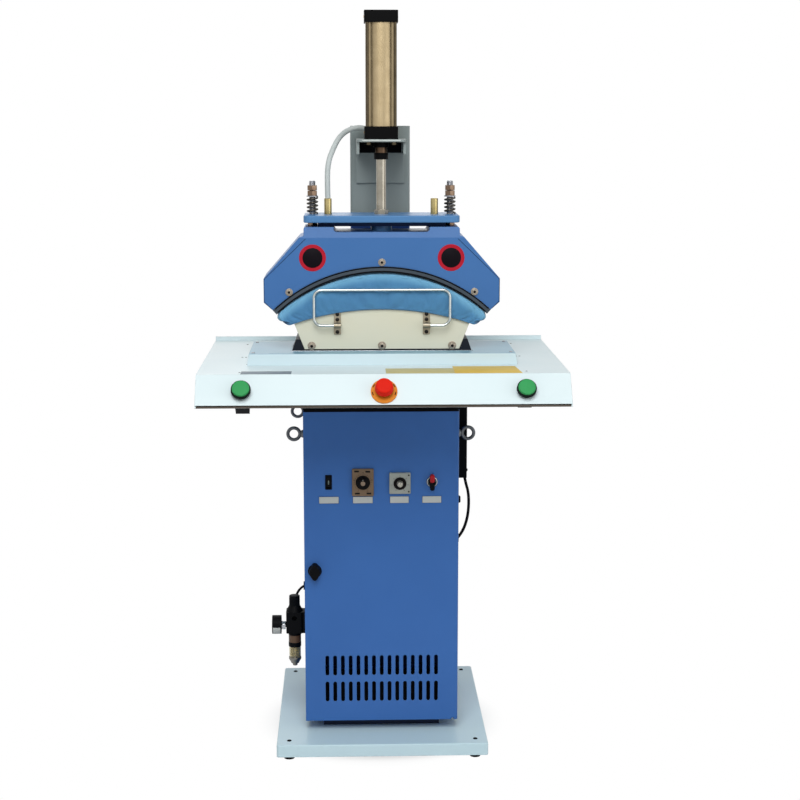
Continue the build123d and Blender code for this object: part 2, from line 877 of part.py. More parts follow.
with BuildPart() as table_top:
    with BuildSketch(Plane.YZ.offset(-table_width / 2)):
        with BuildLine():
            Polyline(
                (table_back, table_height + table_lip),
                (table_back - table_sheet, table_height + table_lip),
                (table_back - table_sheet, table_height),
                (table_front, table_height),
                (apron_foot_y, apron_foot_z),
                (apron_foot_y, hem_z),
                (apron_foot_y + apron_return, hem_z),
                (apron_foot_y + apron_return, hem_z + table_sheet),
                (apron_foot_y + table_sheet, hem_z + table_sheet),
                (apron_foot_y + table_sheet, apron_foot_z - table_sheet / 4),
                (table_front + table_sheet / 2, table_under),
                (table_back - table_sheet, table_under),
                (table_back - table_sheet, table_height - table_skirt),
                (table_back, table_height - table_skirt),
                close=True,
            )
        make_face()
    extrude(amount=table_width)
    for end_x in (-table_width / 2, table_width / 2 - table_sheet):
        with BuildSketch(Plane.YZ.offset(end_x)):
            with BuildLine():
                Polyline(
                    (table_back, table_height),
                    (table_front, table_height),
                    (apron_foot_y, apron_foot_z),
                    (apron_foot_y, hem_z),
                    (apron_foot_y + apron_return, hem_z),
                    (table_front + table_skirt, table_height - table_skirt),
                    (table_back, table_height - table_skirt),
                    close=True,
                )
            make_face()
        extrude(amount=table_sheet)
    with BuildSketch(apron_plane):
        with Locations((-button_x, button_v), (0, button_v), (button_x, button_v)):
            Circle(button_barrel_radius + running_gap)
    extrude(amount=-apron_bore_depth, mode=Mode.SUBTRACT)

platform_depth = platform_back - platform_front
platform_mid = (platform_back + platform_front) / 2
foot_front = buck_front + buck_plate
foot_back = buck_back - buck_plate
foot_mid = (foot_front + foot_back) / 2
foot_depth = foot_back - foot_front

with BuildPart() as platform_cover:
    with BuildSketch(Plane.XY.offset(table_height)):
        with Locations((0, platform_mid)):
            Rectangle(platform_width, platform_depth)
    extrude(amount=platform_height, taper=platform_taper)
    with BuildSketch(Plane.XY.offset(table_height)):
        with Locations((0, platform_mid)):
            Rectangle(platform_width - 2 * table_sheet, platform_depth - 2 * table_sheet)
    extrude(amount=platform_height - table_sheet, taper=platform_taper, mode=Mode.SUBTRACT)
    with BuildSketch(Plane.XY.offset(platform_top)):
        with Locations((0, foot_mid)):
            Rectangle(buck_foot_width + 2 * panel_gap, foot_depth + 2 * panel_gap)
    extrude(amount=-2 * table_sheet, mode=Mode.SUBTRACT)

# Buck

with BuildPart() as buck_foot:
    with BuildSketch(front_plane(foot_back)):
        with BuildLine():
            Polyline(
                (-buck_foot_width / 2, table_height),
                (buck_foot_width / 2, table_height),
                (buck_foot_width / 2, platform_top),
                (buck_foot_top_width / 2, buck_foot_top),
                (-buck_foot_top_width / 2, buck_foot_top),
                (-buck_foot_width / 2, platform_top),
                close=True,
            )
        make_face()
    extrude(amount=foot_depth)

bottom_x = buck_bottom_width / 2
shoulder_x = buck_shoulder_width / 2
shoulder_z = arch_z + circle_height(former_radius, shoulder_x)
side_slope = (shoulder_x - bottom_x) / (shoulder_z - buck_bottom)
end_bottom_x = bottom_x + side_slope * (buck_foot_top - buck_bottom)


def buck_outline():
    """The buck seen from the front: slanted sides below an arch about the head's centre."""
    with BuildLine() as outline:
        Polyline(
            (-shoulder_x, shoulder_z),
            (-bottom_x, buck_bottom),
            (bottom_x, buck_bottom),
            (shoulder_x, shoulder_z),
        )
        ThreePointArc((-shoulder_x, shoulder_z), (0, arch_z + former_radius), (shoulder_x, shoulder_z))
    return outline.line


with BuildPart() as buck_plates:
    for plate_back in (foot_front, buck_back):
        with BuildSketch(front_plane(plate_back)):
            with BuildLine():
                add(buck_outline())
            make_face()
        extrude(amount=buck_plate)
    for side in (-1, 1):
        with BuildSketch(front_plane(foot_back)):
            with BuildLine():
                Polyline(
                    (side * end_bottom_x, buck_foot_top),
                    (side * shoulder_x, shoulder_z),
                    (side * (shoulder_x - buck_plate), shoulder_z),
                    (side * (end_bottom_x - buck_plate), buck_foot_top),
                    close=True,
                )
            make_face()
        extrude(amount=foot_depth)

arch_end_x = shoulder_x - buck_plate - panel_gap
arch_half_angle = degrees(atan2(arch_end_x, circle_height(former_radius, arch_end_x)))
arch_start = 90 - arch_half_angle
arch_inner = former_radius - buck_arch_plate

with BuildPart() as buck_arch:
    with BuildSketch(front_plane(foot_back)):
        with BuildLine():
            outer = CenterArc((0, arch_z), former_radius, arch_start, 2 * arch_half_angle)
            inner = CenterArc((0, arch_z), arch_inner, arch_start, 2 * arch_half_angle)
            Line(outer @ 0, inner @ 0)
            Line(outer @ 1, inner @ 1)
        make_face()
    extrude(amount=foot_depth)

pad_front = buck_front - pad_thick
pad_back = buck_back + pad_thick
pad_end_z = arch_z + circle_height(pad_radius, pad_end)


def pad_section(y, crown_z, end_x, end_z):
    """A cross-section of the pad: an arched top, blunt ends and the arched hem."""
    with BuildSketch(front_plane(y)) as section:
        with BuildLine():
            top = ThreePointArc((-end_x, end_z), (0, crown_z), (end_x, end_z))
            hem_ends = (-pad_corner_x, pad_corner_z), (pad_corner_x, pad_corner_z)
            hem = ThreePointArc(hem_ends[0], (0, pad_hem_crown), hem_ends[1])
            Line(top @ 0, hem @ 0)
            Line(top @ 1, hem @ 1)
        make_face()
    return section.sketch


crown_z = arch_z + pad_radius
crown_front = pad_front + pad_crown_run
crown_back = pad_back - pad_crown_run
crease_x = pad_corner_x + pad_crease_proud

with BuildPart() as buck_pad:
    for edge_y, inwards in ((pad_front, 1), (pad_back, -1)):
        sections = []
        for along, up in pad_crown_steps:
            sections.append(
                pad_section(
                    edge_y + inwards * along * pad_crown_run,
                    pad_crease_crown + up * (crown_z - pad_crease_crown),
                    crease_x + up * (pad_end - crease_x),
                    pad_crease_end_z + up * (pad_end_z - pad_crease_end_z),
                )
            )
        loft(sections=sections, ruled=True)
    extrude(pad_section(crown_front, crown_z, pad_end, pad_end_z), amount=crown_front - crown_back)
    with BuildSketch(front_plane(buck_back + soft_gap)):
        with BuildLine():
            add(buck_outline())
        make_face()
        offset(amount=soft_gap)
    extrude(amount=buck_depth + 2 * soft_gap, mode=Mode.SUBTRACT)

# Bail and its brackets

bail_y = pad_front - bail_stand_off
bracket_front = buck_front - bail_bracket_thick

with BuildPart() as bail_brackets:
    for side in (-1, 1):
        with BuildSketch(front_plane(buck_front)):
            with Locations((side * bail_bracket_x, bail_bracket_z)):
                RectangleRounded(bail_bracket_width, bail_bracket_height, bail_bracket_corner)
        extrude(amount=bail_bracket_thick)
        with BuildSketch(Plane.YZ.offset(side * bail_bracket_x - bail_bracket_width / 2)):
            with Locations(((bracket_front + bail_y) / 2, bail_z)):
                Rectangle(bracket_front - bail_y, 2 * bail_knuckle_radius)
            with Locations((bail_y, bail_z)):
                Circle(bail_knuckle_radius)
                Circle(bail_wire_radius + running_gap, mode=Mode.SUBTRACT)
        extrude(amount=bail_bracket_width)

bail_inner_x = bail_bracket_x - bail_bracket_width / 2

with BuildPart() as bail:
    with BuildLine() as bail_route:
        FilletPolyline(
            (-bail_inner_x, bail_y, bail_z),
            (-bail_half_width, bail_y, bail_z),
            (-bail_half_width, bail_y, bail_z + bail_height),
            (bail_half_width, bail_y, bail_z + bail_height),
            (bail_half_width, bail_y, bail_z),
            (bail_inner_x, bail_y, bail_z),
            radius=bail_bend,
        )
    with BuildSketch(Plane(origin=(-bail_inner_x, bail_y, bail_z), z_dir=(-1, 0, 0))):
        Circle(bail_wire_radius)
    sweep(path=bail_route.wires()[0])

# Head

casing_arch = arch_radius + strip_depth
recess_z = head_top - head_recess_depth
casing_foot_z = arch_z + circle_height(casing_arch, head_foot_x)
casing_inner_front = head_front + casing_wall
casing_inner_back = head_back - casing_wall


def casing_outline(inset):
    """The head's outline above its arch, drawn in by a wall."""
    recess_x = head_recess_width / 2 + inset
    lean = inset * casing_lean
    with BuildLine() as outline:
        right = [
            (recess_x, recess_z - inset),
            (recess_x, head_top - inset),
            (head_top_width / 2 - inset, head_top - inset),
            (head_top_width / 2 - inset, head_top - head_flange - lean),
            (head_shoulder_x - inset, head_shoulder_z - lean),
            (head_side_x - inset, head_side_top - lean),
            (head_side_x - inset, head_side_bottom + lean),
            (head_foot_x - inset, casing_foot_z + lean),
        ]
        left = [(-x, z) for x, z in reversed(right)]
        crown = (0, arch_z + casing_arch)
        Polyline(*left, *right)
        ThreePointArc(right[-1], crown, left[0])
    return outline


def round_top(face):
    """Rounds the corners of the head's top edge and of the recess in it."""
    rows = face.vertices().group_by(Axis.Y)
    fillet(rows[-1] + rows[-2], head_top_corner)


def lean_wedges(front_y, back_y):
    """Both slices cut off the top band of the head so that it leans back from its faces."""
    with BuildPart() as wedges:
        with BuildSketch(Plane.YZ.offset(-head_side_x)):
            for edge_y, side in ((front_y, 1), (back_y, -1)):
                with BuildLine():
                    Polyline(
                        (edge_y, head_lean_foot),
                        (edge_y, head_top),
                        (edge_y + side * head_lean, head_top),
                        close=True,
                    )
                make_face()
        extrude(amount=2 * head_side_x)
    return wedges.part


with BuildPart() as casing_hollow:
    with BuildSketch(front_plane(casing_inner_back)):
        add(casing_outline(casing_wall))
        make_face()
    extrude(amount=head_depth - 2 * casing_wall)
    add(lean_wedges(casing_inner_front, casing_inner_back), mode=Mode.SUBTRACT)

with BuildPart() as head_casing:
    with BuildSketch(front_plane(head_back)) as casing_face:
        add(casing_outline(0))
        make_face()
        round_top(casing_face)
    extrude(amount=head_depth)
    add(lean_wedges(head_front, head_back), mode=Mode.SUBTRACT)
    add(casing_hollow.part, mode=Mode.SUBTRACT)
    with BuildSketch(front_plane(casing_inner_back)):
        with BuildLine():
            foot_arc = ThreePointArc(
                (-head_foot_x + casing_wall, casing_foot_z + casing_wall),
                (0, arch_z + casing_arch + casing_wall),
                (head_foot_x - casing_wall, casing_foot_z + casing_wall),
            )
            Polyline(
                foot_arc @ 0,
                (-head_foot_x + casing_wall, casing_foot_z - strip_depth),
                (head_foot_x - casing_wall, casing_foot_z - strip_depth),
                foot_arc @ 1,
            )
        make_face()
    extrude(amount=head_depth - 2 * casing_wall, mode=Mode.SUBTRACT)
    with BuildSketch(Plane.XY.offset(head_top)):
        with Locations((-stud_x, head_mid), (stud_x, head_mid)):
            Circle(stud_radius + running_gap)
        with Locations((-nipple_x, head_mid), (nipple_x, head_mid)):
            Circle(nipple_radius + running_gap)
    extrude(amount=-2 * casing_wall, mode=Mode.SUBTRACT)


def arch_slab(inner_radius, outer_radius, end_x, y_back):
    """A slab bent about the head's centre, with ends square to its curve."""
    half_angle = degrees(atan2(end_x, circle_height(outer_radius, end_x)))
    with BuildSketch(front_plane(y_back)) as slab:
        with BuildLine():
            outer = CenterArc((0, arch_z), outer_radius, 90 - half_angle, 2 * half_angle)
            inner = CenterArc((0, arch_z), inner_radius, 90 - half_angle, 2 * half_angle)
            Line(outer @ 0, inner @ 0)
            Line(outer @ 1, inner @ 1)
        make_face()
    return slab.sketch


strip_back_y = head_back + strip_proud
strip_front_y = head_front - strip_proud

with BuildPart() as arch_strips:
    for strip_y in (strip_front_y + strip_width, strip_back_y):
        slab = arch_slab(arch_radius, casing_arch, head_foot_x, strip_y)
        extrude(slab, amount=strip_width)

die_front = strip_front_y + strip_width
die_back = strip_back_y - strip_width
die_top = arch_radius + die_thick

with BuildPart() as pressing_die:
    slab = arch_slab(arch_radius, casing_arch, die_end, die_back)
    extrude(slab, amount=die_back - die_front)
    slab = arch_slab(casing_arch, die_top, die_end - die_step, casing_inner_back)
    extrude(slab, amount=casing_inner_back - casing_inner_front)

heater_path_radius = die_top + heater_radius
heater_half_angle = degrees(atan2(heater_end, circle_height(heater_path_radius, heater_end)))

with BuildPart() as heater_rods:
    for side in (-1, 1):
        rod_plane = front_plane(head_mid + side * heater_spread / 2)
        with BuildLine(rod_plane) as heater_route:
            CenterArc((0, arch_z), heater_path_radius, 90 - heater_half_angle, 2 * heater_half_angle)
        heater_start = heater_route.edges()[0]
        with BuildSketch(Plane(origin=heater_start @ 0, z_dir=heater_start % 0)):
            Circle(heater_radius)
        sweep(path=heater_route.wires()[0])

with BuildPart() as crossbar:
    with BuildSketch(Plane.XY.offset(crossbar_bottom)):
        with Locations((0, head_mid)):
            RectangleRounded(crossbar_width, head_depth, crossbar_corner)
    extrude(amount=crossbar_thick)
    fillet(crossbar.faces().sort_by(Axis.Z)[-1].edges(), crossbar_edge)
    fillet(crossbar.faces().sort_by(Axis.Z)[0].edges(), crossbar_edge)
    with BuildSketch(Plane.XY.offset(recess_z)):
        with Locations((0, head_mid)):
            Circle(pivot_radius)
    extrude(amount=crossbar_bottom - recess_z)
    with BuildSketch(Plane.XY.offset(crossbar_top)):
        with Locations((-stud_x, head_mid), (stud_x, head_mid)):
            Circle(stud_radius + sliding_gap)
        with Locations((-nipple_x, head_mid), (nipple_x, head_mid)):
            Circle(nipple_radius + sliding_gap)
    extrude(amount=-crossbar_thick, mode=Mode.SUBTRACT)
    with BuildSketch(Plane.XY.offset(crossbar_top)):
        with Locations((0, cylinder_y)):
            Circle(rod_end_radius + running_gap)
    extrude(amount=-rod_end_length, mode=Mode.SUBTRACT)

washer_bottom = crossbar_top + spring_height
nut_bottom = washer_bottom + washer_thick
inner_nut_bottom = head_top - casing_wall - stud_thin_nut_height
lock_nut_bottom = nut_bottom + stud_nut_height + stud_nut_gap
stud_nuts = (
    (inner_nut_bottom, stud_thin_nut_height),
    (head_top, stud_thin_nut_height),
    (nut_bottom, stud_nut_height),
    (lock_nut_bottom, stud_nut_height),
)

with BuildPart() as suspension_studs:
    for side in (-1, 1):
        stud_at = (side * stud_x, head_mid)
        with BuildSketch(Plane.XY.offset(inner_nut_bottom)):
            with Locations(stud_at):
                Circle(stud_radius)
        extrude(amount=stud_top - inner_nut_bottom)
        chamfer(suspension_studs.edges().group_by(Axis.Z)[-1], stud_end_bevel)
        for bottom, height in stud_nuts:
            with BuildSketch(Plane.XY.offset(bottom)):
                with Locations(stud_at):
                    RegularPolygon(stud_nut_width / 2, 6, major_radius=False)
            extrude(amount=height)
        with BuildSketch(Plane.XY.offset(washer_bottom)):
            with Locations(stud_at):
                Circle(washer_radius)
        extrude(amount=washer_thick)


def helix_point(turns, pitch, start_z):
    """A point on the spring's centre line, after so many turns."""
    angle = 2 * pi * turns
    return Vector(spring_radius * cos(angle), spring_radius * sin(angle), start_z + pitch * turns)


def helix_tangent(turns, pitch):
    """The direction of the spring's centre line there."""
    angle = 2 * pi * turns
    return Vector(-sin(angle), cos(angle), pitch / (2 * pi * spring_radius)).normalized()


lead = 2 * spring_wire
lead_turns = lead / (2 * pi * spring_radius)
spring_pitch = (spring_height - 2 * spring_wire) / (spring_turns + 2 * lead_turns)
spring_bottom = crossbar_top + spring_wire + spring_pitch * lead_turns
spring_points = []

with BuildPart() as one_spring:
    with BuildLine() as spring_route:
        first = helix_point(0, spring_pitch, spring_bottom)
        first_way = helix_tangent(0, spring_pitch)
        spring_start = first - first_way * lead
        Line(spring_start, first)
        for quarter in range(1, 4 * spring_turns + 1):
            last = helix_point(quarter / 4, spring_pitch, spring_bottom)
            last_way = helix_tangent(quarter / 4, spring_pitch)
            chord = last - first
            along = chord.dot(first_way + last_way)
            bend = 2 * (1 - first_way.dot(last_way))
            reach = (sqrt(along**2 + bend * chord.dot(chord)) - along) / bend
            joint = (first + last + (first_way - last_way) * reach) / 2
            arc_in = TangentArc(first, joint, tangent=first_way)
            arc_out = TangentArc(joint, last, tangent=arc_in % 1)
            for arc in (arc_in, arc_out):
                spring_points += [arc @ (step / arc_samples) for step in range(arc_samples)]
            first = last
            first_way = last_way
        Line(first, first + first_way * lead)
    with BuildSketch(Plane(origin=spring_start, z_dir=helix_tangent(0, spring_pitch))):
        Circle(spring_wire)
    sweep(path=spring_route.wires()[0])
half_turn = 4 * arc_samples
self_gap = min(
    (point - other).length
    for index, point in enumerate(spring_points)
    for other in spring_points[index + half_turn:]
)
print(f"spring: least gap between turns {self_gap - 2 * spring_wire:.2f}")

with BuildPart() as suspension_springs:
    with Locations((-stud_x, head_mid, 0), (stud_x, head_mid, 0)):
        add(one_spring.part)

with BuildPart() as conduit_nipples:
    with BuildSketch(Plane.XY.offset(head_top - 2 * casing_wall)):
        with Locations((-nipple_x, head_mid), (nipple_x, head_mid)):
            Circle(nipple_radius)
            Circle(nipple_bore, mode=Mode.SUBTRACT)
    extrude(amount=nipple_top - head_top + 2 * casing_wall)

# Column and cylinder bracket

column_mid = column_front + column_depth / 2
column_foot_top = table_height + column_foot_thick

with BuildPart() as column:
    with BuildSketch(Plane.XY.offset(table_height)):
        with Locations((0, column_mid)):
            Rectangle(column_foot_width, column_depth + 2 * column_foot_thick)
    extrude(amount=column_foot_thick)
    with BuildSketch(Plane.XY.offset(table_height)):
        with Locations((0, column_mid)):
            RectangleRounded(column_width, column_depth, column_corner)
    extrude(amount=column_top - table_height)
    with BuildSketch(Plane.XY.offset(table_height)):
        with Locations((0, column_mid)):
            Rectangle(column_width - 2 * column_wall, column_depth - 2 * column_wall)
    extrude(amount=column_top - column_wall - table_height, mode=Mode.SUBTRACT)

bracket_front_y = cylinder_y - bracket_nose
bracket_under = bracket_top - bracket_plate
back_plate_front = column_front - bracket_plate

with BuildPart() as cylinder_bracket:
    with BuildSketch(Plane.XY.offset(bracket_under)):
        with Locations((0, (bracket_front_y + column_front) / 2)):
            nose = Rectangle(bracket_width, column_front - bracket_front_y)
        fillet(nose.vertices().group_by(Axis.Y)[0], bracket_corner)
        with Locations((0, cylinder_y)):
            Circle(gland_radius + sliding_gap, mode=Mode.SUBTRACT)
    extrude(amount=bracket_plate)
    with BuildSketch(front_plane(column_front)):
        with Locations((0, bracket_under - bracket_back_height / 2)):
            Rectangle(bracket_width, bracket_back_height)
    extrude(amount=bracket_plate)
    for side in (-1, 1):
        with BuildSketch(Plane.YZ.offset(side * (bracket_width - bracket_plate) / 2 - bracket_plate / 2)):
            with BuildLine():
                Polyline(
                    (bracket_front_y + bracket_corner, bracket_under),
                    (bracket_front_y + bracket_corner, bracket_under - bracket_cheek),
                    (back_plate_front, bracket_under - bracket_cheek),
                    (back_plate_front, bracket_under),
                    close=True,
                )
            make_face()
        extrude(amount=bracket_plate)

cylinder_centre = (0, cylinder_y)
bush_top = bracket_top - gland_length
collar_top = bush_top - gland_bush_length
gland_depth = gland_length + gland_bush_length + gland_collar_length
gland_steps = (
    (bracket_top, gland_radius, gland_length),
    (bush_top, gland_bush_radius, gland_bush_length),
    (collar_top, gland_collar_radius, gland_collar_length),
)

with BuildPart() as cylinder_caps:
    for cap_bottom, cap_height in ((bracket_top, lower_cap_height), (upper_cap_bottom, upper_cap_height)):
        with BuildSketch(Plane.XY.offset(cap_bottom)):
            with Locations(cylinder_centre):
                RectangleRounded(cap_size, cap_size, cap_corner)
        extrude(amount=cap_height)
    for step_top, step_radius, step_length in gland_steps:
        with BuildSketch(Plane.XY.offset(step_top)):
            with Locations(cylinder_centre):
                Circle(step_radius)
        extrude(amount=-step_length)
    with BuildSketch(Plane.XY.offset(lower_cap_top)):
        with Locations(cylinder_centre):
            Circle(rod_radius + running_gap)
    extrude(amount=-(lower_cap_height + gland_depth), mode=Mode.SUBTRACT)

with BuildPart() as cylinder_barrel:
    with BuildSketch(Plane.XY.offset(lower_cap_top)):
        with Locations(cylinder_centre):
            Circle(barrel_radius)
            Circle(bore_radius, mode=Mode.SUBTRACT)
    extrude(amount=barrel_length)

with BuildPart() as cylinder_fixings:
    with BuildSketch(Plane.XY.offset(lower_cap_top)):
        with Locations(cylinder_centre):
            with GridLocations(2 * tie_rod_offset, 2 * tie_rod_offset, 2, 2):
                Circle(tie_rod_radius)
    extrude(amount=barrel_length)
    with BuildSketch(Plane.XY.offset(bracket_under)):
        with Locations(cylinder_centre):
            with GridLocations(2 * mount_bolt_offset, 2 * mount_bolt_offset, 2, 2):
                RegularPolygon(mount_bolt_head, 6, major_radius=False)
    extrude(amount=-mount_bolt_head)

piston_bottom = lower_cap_top + piston_rise

with BuildPart() as piston_rod:
    with BuildSketch(Plane.XY.offset(crossbar_top)):
        with Locations(cylinder_centre):
            Circle(rod_radius)
    extrude(amount=piston_bottom - crossbar_top)
    with BuildSketch(Plane.XY.offset(piston_bottom)):
        with Locations(cylinder_centre):
            Circle(bore_radius - piston_gap)
    extrude(amount=piston_height)
    with BuildSketch(Plane.XY.offset(crossbar_top)):
        with Locations(cylinder_centre):
            Circle(rod_end_radius)
    extrude(amount=-rod_end_length)
    with BuildSketch(Plane.XY.offset(crossbar_top)):
        with Locations(cylinder_centre):
            RegularPolygon(rod_nut_width / 2, 6, major_radius=False)
    extrude(amount=rod_nut_height)

# Push buttons on the apron

block_back = -apron_bore_depth
block_reaches = (
    (-button_x, left_block_reach),
    (0, button_block_reach),
    (button_x, button_block_reach),
)


def apron_location(x):
    """Where a button sits on the apron."""
    return (x, button_v)


with BuildPart() as button_bodies:
    with BuildSketch(apron_plane):
        with Locations(apron_location(-button_x), apron_location(button_x)):
            Circle(button_collar_radius)
    extrude(amount=button_collar_height)
    for x, reach in block_reaches:
        with BuildSketch(apron_plane):
            with Locations(apron_location(x)):
                Circle(button_barrel_radius)
        extrude(amount=block_back)
        with BuildSketch(apron_plane.offset(block_back)):
            with Locations(apron_location(x)):
                Rectangle(button_block, button_block)
        extrude(amount=-reach)
    with BuildSketch(apron_plane.offset(button_collar_height)):
        with Locations(apron_location(-button_x), apron_location(button_x)):
            Circle(button_stem_radius + running_gap)
    extrude(amount=-(stem_length + button_travel + stem_end_gap), mode=Mode.SUBTRACT)
    with BuildSketch(apron_plane.offset(button_collar_height)):
        with Locations(apron_location(0)):
            Circle(estop_stem_radius + running_gap)
    extrude(amount=-(stem_length + button_travel + stem_end_gap), mode=Mode.SUBTRACT)


def palm_button(x):
    """A mushroom cap on its stem, standing off the collar by its travel."""
    with BuildPart() as button:
        with BuildSketch(apron_plane.offset(button_base)):
            with Locations(apron_location(x)):
                Circle(button_radius)
        extrude(amount=button_height)
        fillet(button.edges().sort_by(lambda edge: edge.center().Y - edge.center().Z)[0], button_edge)
        with BuildSketch(apron_plane.offset(button_base)):
            with Locations(apron_location(x)):
                Circle(button_stem_radius)
        extrude(amount=-stem_length)
    return button


palm_button_left = palm_button(-button_x)
palm_button_right = palm_button(button_x)

with BuildPart() as estop_ring:
    with BuildSketch(apron_plane):
        with Locations(apron_location(0)):
            Circle(estop_ring_radius)
            Circle(estop_neck_radius + sliding_gap, mode=Mode.SUBTRACT)
    extrude(amount=estop_ring_thick)

stem_top = estop_stand + button_travel

with BuildPart() as estop_plunger:
    with BuildSketch(apron_plane.offset(stem_top)):
        with Locations(apron_location(0)):
            Circle(estop_neck_radius)
    extrude(amount=-(stem_top - button_travel - panel_gap))
    with BuildSketch(apron_plane.offset(stem_top)):
        with Locations(apron_location(0)):
            Circle(estop_stem_radius)
    extrude(amount=-(stem_top + stem_length - button_collar_height))
    with BuildSketch(apron_plane.offset(stem_top)):
        with Locations(apron_location(0)):
            Circle(knob_stem_radius)
    extrude(amount=knob_stem_length)

with BuildPart() as estop_head:
    with BuildSketch(apron_plane.offset(stem_top + running_gap)):
        with Locations(apron_location(0)):
            Circle(estop_head_radius)
    extrude(amount=estop_head_height, taper=estop_draft)
    fillet(estop_head.edges().sort_by(lambda edge: edge.center().Y - edge.center().Z)[0], estop_edge)
    with BuildSketch(apron_plane.offset(stem_top)):
        with Locations(apron_location(0)):
            Circle(knob_stem_radius + running_gap)
    extrude(amount=knob_stem_length + 2 * sliding_gap, mode=Mode.SUBTRACT)

# Filter regulator

regulator_at = (regulator_x, regulator_y)
regulator_front = regulator_y - regulator_depth / 2
bracket_reach = -cab_side - (regulator_x + regulator_width / 2)

with BuildPart() as regulator_body:
    with BuildSketch(Plane.XY.offset(regulator_bottom)):
        with Locations(regulator_at):
            RectangleRounded(regulator_width, regulator_depth, regulator_corner)
    extrude(amount=regulator_shoulder - regulator_bottom)
    with BuildSketch(Plane.XY.offset(regulator_shoulder)):
        with Locations(regulator_at):
            Circle(regulator_width / 2)
    with BuildSketch(Plane.XY.offset(regulator_top)):
        with Locations(regulator_at):
            Circle(regulator_knob_radius)
    loft()
    with BuildSketch(Plane.XY.offset(regulator_top)):
        with Locations(regulator_at):
            Circle(knob_stem_radius)
    extrude(amount=regulator_knob_height / 2)
    for port_y, way in ((regulator_front, -1), (regulator_y + regulator_depth / 2, 1)):
        with BuildSketch(front_plane(port_y)):
            with Locations((regulator_x, port_z)):
                Circle(port_radius)
        extrude(amount=way * port_depth, mode=Mode.SUBTRACT)

with BuildPart() as regulator_knob:
    with BuildSketch(Plane.XY.offset(regulator_top + sliding_gap)):
        with Locations(regulator_at):
            Circle(regulator_knob_radius)
    extrude(amount=regulator_knob_height)
    fillet(regulator_knob.edges().group_by(Axis.Z)[-1], regulator_knob_edge)
    with BuildSketch(Plane.XY.offset(regulator_top + sliding_gap)):
        with Locations(regulator_at):
            Circle(knob_stem_radius + running_gap)
    extrude(amount=regulator_knob_height / 2 + regulator_knob_gap, mode=Mode.SUBTRACT)

with BuildPart() as regulator_bracket:
    with BuildSketch(Plane.YZ.offset(-cab_side)):
        with Locations((regulator_y, (regulator_bottom + regulator_shoulder) / 2)):
            Rectangle(
                regulator_depth - 2 * regulator_bracket_inset, regulator_shoulder - regulator_bottom
            )
    extrude(amount=-bracket_reach)

bowl_floor = regulator_bottom - bowl_height
bowl_foot = bowl_floor - bowl_tip
bowl_neck = bowl_foot + bowl_tip / 2

with BuildPart() as filter_bowl:
    with BuildSketch(front_plane(regulator_y)):
        with BuildLine():
            Polyline(
                (regulator_x, bowl_foot),
                (regulator_x + bowl_drain_radius, bowl_foot),
                (regulator_x + bowl_drain_radius, bowl_neck),
                (regulator_x + bowl_radius * bowl_cone_share, bowl_neck),
                (regulator_x + bowl_radius, bowl_floor + bowl_tip / 4),
                (regulator_x + bowl_radius, regulator_bottom),
                (regulator_x + bowl_radius - bowl_wall, regulator_bottom),
                (regulator_x + bowl_radius - bowl_wall, bowl_floor + bowl_wall),
                (regulator_x, bowl_floor + bowl_wall),
                close=True,
            )
        make_face()
    revolve(axis=Axis((regulator_x, regulator_y, 0), (0, 0, 1)))

gauge_plane = Plane(origin=(gauge_x, 0, 0), x_dir=(0, -1, 0), z_dir=(-1, 0, 0))
gauge_at = (-regulator_y, gauge_z)

with BuildPart() as gauge_case:
    with BuildSketch(gauge_plane):
        with Locations(gauge_at):
            Circle(gauge_radius)
    extrude(amount=-gauge_depth)
    with BuildSketch(gauge_plane):
        with Locations(gauge_at):
            Circle(gauge_radius - gauge_rim)
    extrude(amount=-gauge_recess, mode=Mode.SUBTRACT)
    with BuildSketch(gauge_plane.offset(-gauge_depth)):
        with Locations(gauge_at):
            Circle(gauge_stem_radius)
    extrude(amount=-(regulator_x - regulator_width / 2 - gauge_x - gauge_depth))
    with BuildSketch(gauge_plane.offset(-gauge_recess)):
        with Locations(gauge_at):
            Circle(needle_hub_radius / 2 + running_gap)
    extrude(amount=-needle_pin_depth, mode=Mode.SUBTRACT)

with BuildPart() as gauge_needle:
    with BuildSketch(gauge_plane.offset(-gauge_recess + sliding_gap)):
        with Locations(gauge_at):
            Circle(needle_hub_radius)
            with Locations((-needle_length / 2, -needle_length / 2)):
                Rectangle(needle_tail * needle_length, needle_width, rotation=needle_angle)
    extrude(amount=needle_width)
    with BuildSketch(gauge_plane.offset(-gauge_recess + sliding_gap)):
        with Locations(gauge_at):
            Circle(needle_hub_radius / 2)
    extrude(amount=-needle_pin_depth)

# Cable duct, glands, power cord, air tube and heater conduit

with BuildPart() as cable_duct:
    with BuildSketch(Plane.XY.offset(duct_bottom)):
        with Locations((cab_side + duct_depth / 2, duct_y)):
            RectangleRounded(duct_depth, duct_width, duct_corner)
    extrude(amount=table_under - duct_bottom)

cord_x = cab_side + duct_depth - cord_radius - cord_edge_gap
cord_route = [(cord_x + out, cord_y, duct_bottom - drop) for out, drop in cord_bow]
power_cord = blended_tube(cord_route, cord_radius, "power cord")

tube_y = regulator_y + regulator_depth / 2 + elbow_reach
tube_start_z = port_z + elbow_height
tube_foot = (regulator_x, tube_y, tube_start_z - elbow_socket + sliding_gap)
tube_route = [tube_foot] + [(regulator_x + run, tube_y, tube_start_z + rise) for run, rise in tube_bow]
air_tube = blended_tube(tube_route, air_tube_radius, "air tube")

conduit_end = (conduit_gland_x, column_front - gland_nose / 2, conduit_gland_z)
conduit_lead_in = (conduit_gland_x, column_front - 3 * gland_nose / 2, conduit_gland_z)
conduit_route = [(x - nipple_x, y + head_mid, z + nipple_top) for x, y, z in conduit_bow]
conduit_route += [conduit_lead_in, conduit_end]
heater_conduit = blended_tube(conduit_route, conduit_radius, "heater conduit")

